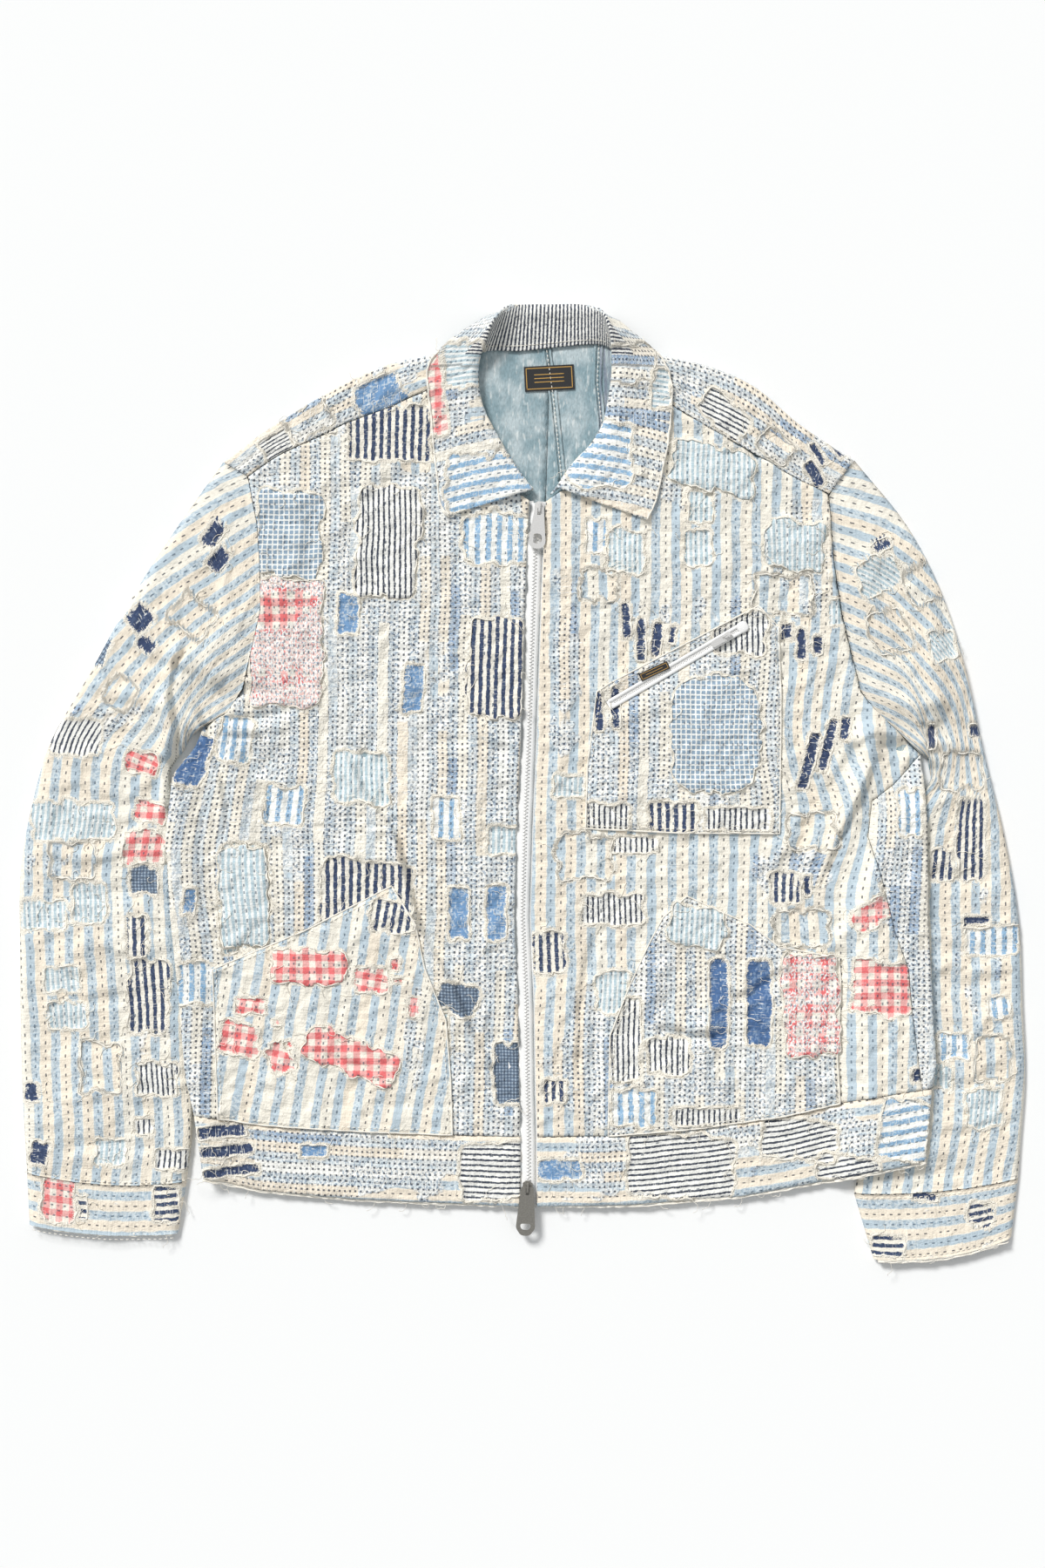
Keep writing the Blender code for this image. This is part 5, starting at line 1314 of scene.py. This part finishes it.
def base_cloth():
    """Cream and light blue stripes, worn in places to a mottled weave full of dark stitches."""
    shade = Shade("boro_stripe")
    u, v, fray = shade.weave()
    turn = u / PITCH + (shade.noise(u, v, 3.0, 7.0, 2.0) - 0.5) * 0.12
    stripe = turn.beat() * 2
    blue = stripe.rise(0.47, 0.40)
    column = (turn * 2 - 0.5).floor()  # each stripe's own number, even on the blue ones
    stretch = (v / 70.0 + shade.chance(column * 1.31) * 7.0).floor()
    luck = shade.chance(column * 1.7 + stretch * 0.37)
    fleck = shade.noise(u, v, 2.6, 2.3, 1.0)
    speck = shade.noise(v + 200, u, 2.6, 2.0, 1.0)

    # on the calm cloth of a pocket half of the rows have no stitches
    empty = shade.chance((u / ROW + 0.5).floor() * 2.3 + 1.0).rise(0.52, 0.54)
    dashes = stitches(shade, u, v) * (1.0 - shade.wear().rise(-0.1, -0.3) * empty)
    faded = shade.mix(fleck.rise(0.36, 0.56), SKY_DARK, SKY_LIGHT)
    sky = shade.mix(luck.rise(0.42, 0.44) * 0.7, SKY, faded)
    cream = shade.mix(shade.chance(column * 2.3 + 5).rise(0.45, 0.85), CREAM, TAN)
    clean = shade.mix(blue, cream, sky)
    clean = shade.mix(dashes * 0.85, clean, shade.mix(blue, INK, SLATE))

    wash = shade.mix(shade.noise(u, v, 7.0, 10.0, 1.0).rise(0.36, 0.60), SKY_LIGHT, PALE)
    dirt = luck.rise(0.2, 0.9) * 0.4 + 0.6
    mottled = shade.mix(fleck.rise(0.50, 0.62) * dirt, wash, GREY_BLUE)
    mottled = shade.mix(speck.rise(0.66, 0.73) * dirt, mottled, SLATE)
    mottled = shade.mix(luck.rise(0.88, 0.90) * fleck.rise(0.58, 0.44) * 0.7, mottled, MID_BLUE)
    plain = shade.mix(luck.rise(0.55, 0.57), cream, WHITE)
    plain = shade.mix(luck.rise(0.62, 0.64) * fleck.rise(0.54, 0.62) * 0.8, plain, GREY_BLUE)
    worn = shade.mix(stripe.rise(0.54, 0.42), plain, mottled)
    dots = stitches(shade, u, v, 0.32, ROW / 2, 4.4, 0.8, 0.2)
    worn = shade.mix(dots * luck.rise(0.08, 0.14) * 0.9, worn, INK)
    bridge = shade.noise(u, v, 7.0, 0.9, 1.0)
    worn = shade.mix(bridge.rise(0.64, 0.70) * 0.8, worn, WHITE)

    share = (shade.wear() + (shade.noise(u, v, 13.0, 22.0, 2.0) - 0.5) * 0.9).rise(0.46, 0.56)
    return finish_cloth(shade, shade.mix(share, clean, worn), u, v, fray,
                        dashes * 0.6 + fleck * share * 1.2)


def striped_cloth(name, pitch, share, ground, stripe_colour, faded, stitch_colour=INK, keep=0.5,
                  mottle=0.35):
    """A cloth with one even stripe, its edges ragged, and rows of stitches over it."""
    shade = Shade(name)
    u, v, fray = shade.weave()
    rough = (shade.noise(u, v, 1.6, 3.5, 2.0) - 0.5) * 0.3
    stripe = (u / pitch + rough).beat() * 2
    mask = stripe.rise(share + 0.09, share - 0.09)
    fleck = shade.noise(u, v, 1.5, 2.6, 2.0)
    dyed = shade.mix(fleck.rise(0.5, 0.68) * mottle, stripe_colour, faded)
    colour = shade.mix(mask, ground, dyed)
    bridge = shade.noise(u, v, 9.0, 0.9, 1.0)
    colour = shade.mix(bridge.rise(0.66, 0.70) * mottle, colour, WHITE)
    stitch = stitches(shade, u, v, keep)
    colour = shade.mix(stitch * 0.8, colour, stitch_colour)
    return finish_cloth(shade, colour, u, v, fray, stitch * 0.6 + mask * 0.2)


def checked_cloth(name, pitch, share, ground, single, double, keep=0.5, faded=ROSE, fades=1.0):
    """A cloth with stripes both ways: single where one crosses, double where two do."""
    shade = Shade(name)
    u, v, fray = shade.weave()
    wander = (shade.noise(u, v, 1.8, 1.8, 2.0) - 0.5) * 0.14
    one, two = ((turn.beat() * 2).rise(share + 0.06, share - 0.06)
                for turn in (u / pitch + wander, v / pitch - wander))
    colour = shade.mix(one.most(two), ground, single)
    colour = shade.mix(one * two, colour, double)
    fleck = shade.noise(u, v, 1.6, 2.4, 2.0)
    patchy = shade.noise(u, v, 14.0, 12.0, 1.0) * 0.5 + shade.wear() * 0.55 + (fleck - 0.5)
    worn = shade.mix(fleck.rise(0.42, 0.58), faded, WHITE)
    worn = shade.mix(shade.noise(v + 90, u, 2.0, 1.4, 1.0).rise(0.60, 0.66), worn, GREY_BLUE)
    colour = shade.mix(patchy.rise(0.42, 0.58) * shade.wear().rise(0.02, 0.1) * fades, colour, worn)
    stitch = stitches(shade, u, v, keep, ROW / 2, 5.2, 0.6, 0.18)
    colour = shade.mix(stitch * 0.75, colour, STEEL)
    return finish_cloth(shade, colour, u, v, fray, stitch * 0.6 + one * 0.15)


def plain_cloth(name, colour, pale, keep=0.5, amount=0.35):
    """A plain faded cloth, mottled where its dye has rubbed off."""
    shade = Shade(name)
    u, v, fray = shade.weave()
    fleck = shade.noise(u, v, 1.8, 2.8, 2.0)
    worn = (fleck + (shade.noise(u, v, 9.0, 9.0) - 0.5) * 0.6).rise(0.46, 0.70) * amount
    made = shade.mix(worn, colour, pale)
    made = shade.mix(shade.noise(u, v, 9.0, 0.9, 1.0).rise(0.68, 0.72) * 0.7, made, WHITE)
    made = shade.mix(stitches(shade, u, v, keep) * 0.6, made, PALE)
    return finish_cloth(shade, made, u, v, fray)


def lining_cloth():
    """Faded chambray, lighter on the rises, with purplish streaks beside the left shoulder."""
    shade = Shade("chambray")
    x, y, _ = shade.place()
    cloud = shade.noise(x, y, 16.0, 28.0, 4.0)
    colour = shade.mix(cloud.rise(0.35, 0.68), linear(144, 168, 176), linear(192, 206, 210))
    thread = shade.noise(x, y, 1.5, 3.4, 3.0)
    colour = shade.mix(shade.noise(x, y, 3.0, 11.0, 2.0).rise(0.58, 0.75) * 0.5, colour, PALE)
    beside_seam = x.rise(58.0, 62.0) * x.rise(92.0, 86.0)
    streak = shade.noise(x, y, 2.2, 60.0, 2.0).rise(0.45, 0.6) * beside_seam
    colour = shade.mix(streak * 0.6, colour, linear(122, 124, 146))
    colour = shade.tint(colour, thread, 0.28)
    return shade.finish(colour, 0.9, thread + cloud, depth=0.6, sheen=0.1)


def simple(name, colour, roughness, metallic=0.0, size=1.5, amount=0.12, depth=0.1):
    """A finish with fine clouds in its colour and surface."""
    shade = Shade(name)
    x, y, z = shade.place()
    cloud = shade.noise(x + z * 0.7, y + z * 0.5, size, size, 2.0)
    made = shade.tint(colour, cloud, amount)
    rough = cloud * 0.15 + (roughness - 0.075)
    return shade.finish(made, rough, cloud, depth=depth, metallic=metallic)


cloths = {
    "base": base_cloth(),
    "light": striped_cloth("fine_light_blue", 4.1, 0.52, PALE, ICE, PALE, SLATE),
    "black": striped_cloth("fine_black_stripe", 4.3, 0.36, WHITE, INK, STEEL, STEEL, keep=0.7),
    "navy": striped_cloth("navy_stripe", 6.3, 0.50, CREAM, NAVY, SLATE, SLATE, keep=0.7),
    "wide": striped_cloth("blue_stripe", 8.6, 0.46, WHITE, BRIGHT_BLUE, SKY_LIGHT, SLATE,
                          keep=0.55, mottle=0.6),
    "gingham": checked_cloth("red_gingham", 10.4, 0.5, CREAM, PINK, RED, keep=0.8, fades=0.25),
    "rose": checked_cloth("worn_gingham", 12.5, 0.5, CREAM, PINK, RED),
    "grid": checked_cloth("blue_grid", 4.0, 0.30, linear(150, 173, 193), PALE, WHITE, keep=0.8,
                          faded=PALE, fades=0.4),
    "mid": plain_cloth("mid_blue", MID_BLUE, SKY_LIGHT, keep=0.6, amount=0.6),
    "deep": plain_cloth("navy", linear(62, 76, 108), linear(96, 112, 142), keep=0.6, amount=0.5),
    "denim": plain_cloth("denim", linear(84, 116, 162), linear(150, 174, 202), keep=0.6,
                         amount=0.6),
    "check": checked_cloth("slate_check", 2.6, 0.45, linear(164, 180, 198), SLATE,
                           linear(84, 98, 122), faded=PALE, fades=0.0),
    "inner": striped_cloth("neck_stripe", 3.0, 0.5, WHITE, INK, STEEL, INK, keep=0.9),
    "lining": lining_cloth(),
}
thread_look = simple("cream_thread", linear(252, 247, 236), 0.9, size=0.8, amount=0.06, depth=0.1)
tape_cloth = simple("zip_tape", linear(250, 250, 249), 0.85, size=0.9, amount=0.05, depth=0.15)
silver = simple("silver_metal", linear(236, 235, 233), 0.36, 0.45, size=1.1, amount=0.08,
                depth=0.06)
antique = simple("dark_metal", linear(158, 155, 148), 0.40, 0.8, size=1.1, amount=0.25, depth=0.08)
label_black = simple("label_black", linear(44, 44, 46), 0.8, size=0.7, amount=0.2, depth=0.15)
label_gold = simple("label_gold", GOLD, 0.7, size=0.7, amount=0.2, depth=0.15)


# ---- the pieces ------------------------------------------------------------------------------

BODY_TOPS = ["front_right", "front_left", "side_panel_left", "waistband_front_right",
             "waistband_front_left"]
BACKS = ["back_right", "back_left", "waistband_back"]
ZIP_LINE = pairs((12, 225, 11, 208, 8.5, 138, 5, 33, 2, -37, 0, -107, 3, -177,
                  4, -246.5, 5, -284.5, 5, -340.5))
HEMS = {  # the lower edges of the front's waistband, from the wearer's right to left
    "waistband_front_right": [(-255, -317), (-210, -327), (-140, -334), (-70, -337), (-2, -339)],
    "waistband_front_left": [(13, -339), (84, -339), (175, -332), (252, -318), (322, -303)],
}
CHEST_ZIP = [(73, 63.5), (175, 123)]
NECK_SEAMS = [[(19, 349.5), (24.5, 310), (31.5, 242)], [(61.5, 359), (60, 320), (64.5, 278)]]

body_top = HeightMap(BODY_TOPS, 4.5)
back_top = HeightMap(BACKS, 5.0)

band_outline = outlines("waistband_back")[0]
BAND_X = np.linspace(min(p[0] for p in band_outline) + 1, max(p[0] for p in band_outline) - 1, 60)


def upper_edge(x):
    """The highest point of the waistband's outline at x."""
    pairs = zip(band_outline, band_outline[1:] + band_outline[:1])
    return max(y + (x - px) / (qx - px) * (q - y) for (px, y), (qx, q) in pairs
               if min(px, qx) <= x <= max(px, qx) and px != qx)


BAND_Y = np.array([upper_edge(x) for x in BAND_X])


def band_plan(x, y):
    """Stripe coordinates on the waistband: down from its upper edge, and along it."""
    return np.interp(x, BAND_X, BAND_Y) - y + 0.8 * noise(x, y, 40, 26), x


def front_height(x, y):
    """The top of the fronts with creases and puckers."""
    relief = creases(x, y, CREASES) + folds(x, y) + wrinkles(x, y) + puckers(*weave_plan(x, y))
    calm = smooth((line_gap(x, y, CHEST_ZIP)[0] - 5) / 9)
    relief = relief * calm - 0.7 * (1 - calm)
    return body_top(x, y) + np.maximum(relief, DEEPEST)


def band_height(x, y):
    """The top of the waistband, quilted by rows along it."""
    return body_top(x, y) + 0.45 * wrinkles(x, y) + 1.1 * puckers(*band_plan(x, y))


def back_height(x, y):
    """The inside of the back."""
    return back_top(x, y) + 0.25 * wrinkles(x + 90, y + 40) - 0.3


def back_floor(x, y):
    return np.maximum(back_top(x, y) - 1.9, FLOOR / 2)


POCKET_TURN = {"hand_pocket_right": 8.5}  # how far its stripes lean, in degrees


def make_front(node, pockets, labels=()):
    """One front with its pockets and the patches sewn on it, cut along its labels too."""
    side = 1 if node.endswith("left") else -1
    patches = [patch for patch in PATCHES if sum(v.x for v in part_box(patch)) * side > 0]
    panel = Panel(node, front_height, weave_plan, over=[*pockets, *patches, *labels])
    edges = {piece: panel.loops[piece][0] for piece in patches}
    around_front = panel.loops[node][0]
    panel.piece(node, 0.0, CLOTH, "worn_boro", under_look=cloths["lining"], edges=edges.values(),
                rests_on=["back_" + node[6:]])
    for pocket in pockets:
        top = panel.piece(pocket, POCKET_RISE, POCKET_CLOTH, "worn_boro",
                          turn=POCKET_TURN.get(pocket, 0.0), edges=edges.values(), rests_on=[node])
        outline = panel.loops[pocket][0]
        trim(node)["threads"].stitch_line(beside(outline + outline[:1], 3.0), top)
        x, y = np.array(spaced(outline, 3.0, closed=True)).T
        radius = 0.8 + 0.2 * noise(x, y, 6, 35)
        trim(node)["rims"].rope(np.c_[x, y, top(x, y) - 0.5], radius, closed=True)
        half_down = lambda px, py: front_height(px, py) + 0.6 * POCKET_RISE
        add_rim(node, outline, half_down, 5, around_front, 0.5)
    for patch in patches:
        kind, slot = PATCHES[patch][:2]
        under = next((pocket for pocket in pockets
                      if inside(*np.mean(edges[patch], axis=0), panel.loops[pocket][0])), node)
        rise = PATCH_RISE + (0 if under == node else POCKET_RISE)
        surface = panel.piece(patch, rise, PATCH_CLOTH, slot, look=cloths[kind], rests_on=[under])
        add_rim(node, edges[patch], surface, len(patch), around_front)


def make_body():
    """Fronts, side panel, waistband and back."""
    make_front("front_right", ["hand_pocket_right"])
    make_front("front_left", ["hand_pocket_left", "chest_pocket"],
               ["chest_zip_tape", "pocket_label"])
    side = Panel("side_panel_left", front_height, weave_plan)
    side.piece("side_panel_left", 0.0, CLOTH, "worn_boro", under_look=cloths["lining"],
               rests_on=["back_left"])
    for node in HEMS:
        band = Panel(node, band_height, band_plan)
        band.piece(node, 0.0, BAND_CLOTH, "cream_stripe", rests_on=["waistband_back"])
    for node in BACKS:
        plan = band_plan if node == "waistband_back" else weave_plan
        back = Panel(node, back_height, plan, step=COARSE, plain=True)
        back.piece(node, 0.0, CLOTH, "chambray", cloths["lining"], cloths["base"], floor=back_floor)


def make_sleeves():
    """Both sleeves and cuffs."""
    for side, armhole, table, hem, outwards in (
            ("right", ARMHOLE_RIGHT, SLEEVE_RIGHT, CUFF_HEM_RIGHT, GAP),
            ("left", ARMHOLE_LEFT, SLEEVE_LEFT, CUFF_HEM_LEFT, -GAP)):
        lower = [bowed(section) for section in table]
        tube("sleeve_" + side, [beside(pairs(armhole), outwards)] + lower, 1.0, SLEEVE_CREASES)
        start, end = [(x, y - 0.4) for x, y in lower[-1]], bowed(hem)
        node = "cuff_" + side
        surface = tube(node, [start, (np.array(start) + end) / 2, end], 0.5, [], turned=True)
        for line, offset in ((start, -3.0), (end, 3.0)):
            trim(node)["threads"].stitch_line(beside(line[1:-1], offset), surface)
        add_hem(node, end[1:-1], lambda x, y: surface(x, y) - 1.0, 9)


def add_hem(node, line, surface, seed):
    """A frayed edge: wavy ropes along a line, and threads that hang over it."""
    line = spaced(list(line), 2.2)
    for k, offset in enumerate((-0.3, -1.4)):
        x, y = np.array(beside(line, offset)).T
        y = y + 0.8 * noise(x, y, 7, 81 + k + seed) - 0.4
        z = np.maximum(surface(x, y) + 0.5 * noise(x, y, 5, 84 + k), 1.2)
        trim(node)["rims"].rope(np.c_[x, y, z], 0.75 + 0.3 * noise(x, y, 4, 87 + k))
    below = lambda x, y: surface(x, y) - 0.3
    trim(node)["threads"].frays(beside(line, -1.0), below, seed, 7.0, 13.0)


def make_yokes():
    """Both yokes: from the front seam, over the shoulder fold, to the back seam."""
    for node, yoke in (("yoke_right", YOKE_RIGHT), ("yoke_left", YOKE_LEFT)):
        front, fold = np.array(yoke, float)[:, :2], np.array(yoke, float)[:, 2:]
        rows = []
        for f, g in zip(front, fold):
            span = math.dist(f, g)
            profile = ((0.45 / span, 5.5), (0.4, 5.9), (0.8, 5.7), (1 - 3.0 / span, 5.3),
                       (1 - 1.6 / span, 4.6), (1 - 1.0 / span, 3.3), (1 - 1.6 / span, 2.0),
                       (1 - 3.4 / span, 1.1), (0.5 + 0.9 / span, 0.9))
            rows.append([(*(f + (g - f) * share), z) for share, z in profile])
        length = length_of(front)
        fine = spline(np.array(rows), int(length / STEP))
        wide = max(length_of(row) for row in fine)
        mid = np.array([across(row, int(wide / STEP)) for row in fine])
        along, span = even_grid(*mid.shape[:2], length, wide)
        relief = wrinkles(mid[..., 0], mid[..., 1]) + puckers(span, along)
        from_seam = smooth(np.arange(mid.shape[1]) / 3.0)[None]
        mid[..., 2] += relief * (from_seam * smooth((mid[..., 2] - 4.0) / 1.2))
        surface = folded(node, mid, weave_grid(span, along), CLOTH, (length, wide))
        trim(node)["threads"].stitch_line(beside([tuple(p) for p in front], 3.0), surface)


def make_collar():
    """The collar: a stand up to the roll, then the fall, as one folded wall."""
    rows = []
    for section in COLLAR:
        seam, roll, edge = (np.array(p, float) for p in pairs(section[:6]))
        seam_z, stand_z, roll_z, fall_z, edge_z = section[6:] or COLLAR_HEIGHTS
        rows.append([
            (*seam, seam_z),
            (*(seam + roll) / 2, seam_z + 0.6 * (stand_z - seam_z)),
            (*(seam + 0.9 * (roll - seam)), stand_z),
            (*roll, roll_z),
            (*(roll + 0.07 * (edge - roll)), fall_z),
            (*(roll + edge) / 2, fall_z + 0.6 * (edge_z - fall_z)),
            (*edge, edge_z),
        ])
    table = np.array(rows)
    length = length_of(table[:, 3])
    fine = spline(table, int(length / 1.8))
    mid = np.array([across(spline(row, 60), 50) for row in fine])
    along, span = even_grid(*mid.shape[:2], length, COLLAR_WIDE)
    x, y = mid[..., 0], mid[..., 1]
    back = smooth((y - 325) / 15)
    relief = 0.8 * wrinkles(x, y) + 0.9 * puckers(y, x)
    mid[..., 2] += relief * (1 - 0.6 * back) * smooth(span / 12) * smooth((mid[..., 2] - 3.5) / 2)
    arc = y + 0.0035 * (x - NECK_X) ** 2 * np.where(y < 290, 0.5, 0.2)
    weave = weave_grid(*np.where(back > 0.5, (along, span), (arc, x)))
    surface = folded("collar", mid, weave, CLOTH + 0.4, (length, COLLAR_WIDE),
                     inner=lambda p, column: (p[:, 1] > 341) & (column < 0.58))
    for side in (-1, 1):
        leaf = np.array([p for p in mid[:, -1] if p[1] < NECK_Y and (p[0] - NECK_X) * side > 0])
        leaf_edge, heights = [tuple(p[:2]) for p in leaf], Scattered(leaf)
        for k in (0, 1):
            px, py = np.array(spaced(leaf_edge, 2.4)).T
            px = px + 0.7 * noise(px, py, 6, 91 + k)
            py = py + 0.7 * noise(px, py, 6, 93 + k)
            z = heights(px, py) + 0.6 - 0.8 * k
            trim("collar")["rims"].rope(np.c_[px, py, z], 0.9 + 0.35 * noise(px, py, 5, 95 + k))
        above = lambda a, b: heights(a, b) + 0.8
        trim("collar")["threads"].frays(leaf_edge, above, 40 + side, 8.0, 11.0)
    seam = [tuple(p[:2]) for p in mid[:, 3] if p[1] > 338]
    trim("collar")["threads"].stitch_line(seam, Scattered(mid[:, 3] + (0, 0, 0.9)), 2.9, 1.9, 0.32)


TEETH, TOOTH = 400, (2.2, 0.8, 1.0)  # places along the zip and a tooth's sides
COIL_TEETH, COIL_TOOTH = 84, (1.3, 0.7, 0.8)


def make_zip():
    """Interlocking teeth between the tapes, on both zips, and the tape under them."""
    middle = across(ZIP_LINE, TEETH)
    core, teeth = Batch(), Batch()
    strip = np.array(spaced(ZIP_LINE, 20))
    core.rope(np.c_[strip - (0, 1.5), np.full(len(strip), 4.0)], 6.1, sides=8, flat=0.1)
    for k in range(6, len(middle) - 2):
        way = unit(middle[k + 1] - middle[k - 1])
        over = np.array([way[1], -way[0]]) * (0.7 if k % 2 else -0.7)
        teeth.block((*(middle[k] + over), 4.4), (way[1], -way[0]), TOOTH)
    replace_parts(teeth.finish("zip_teeth", silver, "silver_metal"), "zip_chain")
    core.finish("zip_tape_core", tape_cloth, "zip_tape")
    (x0, y0, _), (x1, y1, _) = (np.array(corner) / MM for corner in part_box("chest_zip_chain"))
    start, end = np.array((x0 + 0.7, y0 + 1.2)), np.array((x1 - 0.7, y1 - 1.2))
    way = unit(end - start)
    over = np.array([way[1], -way[0]])
    coil = Batch()
    for k in range(COIL_TEETH):
        place = start + (end - start) * (k + 0.5) / COIL_TEETH
        coil.block((*(place + over * (0.4 if k % 2 else -0.4)), 7.5), over, COIL_TOOTH)
    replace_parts(coil.finish("chest_zip_teeth", silver, "silver_metal"), "chest_zip_chain")
    ends = Batch()
    line = end + way * np.linspace(-3, 6, 6)[:, None]
    ends.rope(np.c_[line, np.full(6, 8.1)], (3.2, 4.6, 4.9, 4.9, 4.4, 2.6), sides=10, flat=0.14)
    for side in (-2.7, 2.7):
        line = [tuple(start + over * side - way * 3), tuple(end + over * side)]
        line = np.array(spaced(line, 3.0))
        ends.rope(np.c_[line, np.full(len(line), 7.7)], 1.5, sides=8, flat=0.6)
    ends.finish("chest_zip_ends", tape_cloth, "zip_tape")


def make_labels():
    """A plain gold border and plain gold stripes on each black label."""
    for node, middle, size, turn, stripes in (  # the stripes' places up and down the label
            ("neck_label", (21.5, 324), (36.5, 16.5), 3.0, (-3.0, 0.0, 3.0)),
            ("pocket_label", (105.5, 88.5), (22.5, 4.2), 25.0, (0.0,))):
        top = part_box(node)[1].z / MM
        lines = [[(-1, -1), (1, -1), (1, 1), (-1, 1), (-1, -1)]]
        lines += [[(-0.66, k / size[1] * 2), (0.66, k / size[1] * 2)] for k in stripes]
        gold = Batch()
        for line in lines:
            points = [rotated(a * size[0] / 2, b * size[1] / 2, turn, *middle) for a, b in line]
            points = np.array(spaced(points, 2.0))
            gold.rope(np.c_[points, np.full(len(points), top)], 0.012 * size[0], flat=0.5)
        gold.finish(node + "_border", label_gold, "label_black")


def make_neck():
    """Felled seams on the inside of the back, seen through the neck."""
    seams = trim("back_left")
    seams["seam"] = Batch()
    for line in NECK_SEAMS:
        for offset in (-2.6, 2.6):
            x, y = np.array(spaced(beside(line, offset), 4.0)).T
            radius = 1.3 + 0.3 * noise(x, y, 6, 97)
            seams["seam"].rope(np.c_[x, y, back_top(x, y) + 0.15], radius, flat=0.7)
        seams["threads"].stitch_line(line, lambda a, b: back_top(a, b) + 0.65, 3.4, 2.2, 0.4)


# ---- the stage -------------------------------------------------------------------------------

CAMERA_HIGH, CAMERA_SEES = 2.0, 1.26  # metres above the floor, and from top to bottom of it
CAMERA_Y = -0.00175
SENSOR = 36.0
SUN_TURN, SUN_POWER, SUN_ANGLE = (-43, -27, 10), 2.68, 0.30  # degrees; radians across
SUN_COLOUR, SKY_COLOUR, SKY_POWER = (1.0, 0.99, 0.975), (0.975, 0.99, 1.0, 1), 0.45


def make_stage():
    """A plain pale floor, soft light and the camera straight above."""
    scene = bpy.context.scene
    bpy.ops.mesh.primitive_plane_add(size=8.0, location=(0, 0, -0.0004))
    floor = bpy.context.object
    floor.name = "floor"
    floor.data.materials.append(Shade("floor").finish(linear(253, 254, 254), 0.9))
    world = bpy.data.worlds.new("soft_light")
    world.use_nodes = True
    colour, power = world.node_tree.nodes["Background"].inputs[:2]
    colour.default_value, power.default_value = SKY_COLOUR, SKY_POWER
    scene.world = world
    sun = bpy.data.lights.new("key", "SUN")
    sun.energy, sun.angle, sun.color = SUN_POWER, SUN_ANGLE, SUN_COLOUR
    key = bpy.data.objects.new("key", sun)
    key.rotation_euler = [math.radians(turn) for turn in SUN_TURN]
    scene.collection.objects.link(key)
    lens = bpy.data.cameras.new("camera")
    lens.sensor_width, lens.lens = SENSOR, SENSOR * CAMERA_HIGH / CAMERA_SEES
    camera = bpy.data.objects.new("camera", lens)
    camera.location = (0.0, CAMERA_Y, CAMERA_HIGH)
    scene.collection.objects.link(camera)
    scene.camera = camera
    scene.view_settings.view_transform = "Standard"


make_stage()
make_body()
make_sleeves()
make_yokes()
make_collar()
make_zip()
make_labels()
make_neck()
for node, hem in HEMS.items():
    add_hem(node, hem, lambda x, y: band_height(x, y) - 2.2, 3)
for name, batches in trims.items():
    looks = {"rims": thread_look, "threads": thread_look, "seam": cloths["lining"]}
    trims[name] = [batch.finish(name + "_" + kind, looks[kind], "cream_stripe")
                   for kind, batch in batches.items() if batch.verts]

for look, nodes in (
        (tape_cloth, ("zip_tape_left", "zip_tape_right", "chest_zip_tape")),
        (silver, ("chest_slider", "chest_pull", "zip_slider_top", "zip_pull_top")),
        (antique, ("zip_slider_bottom", "zip_pull_bottom")),
        (label_black, ("neck_label", "pocket_label"))):
    for node in nodes:
        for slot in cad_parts[node].material_slots:
            slot.material = look
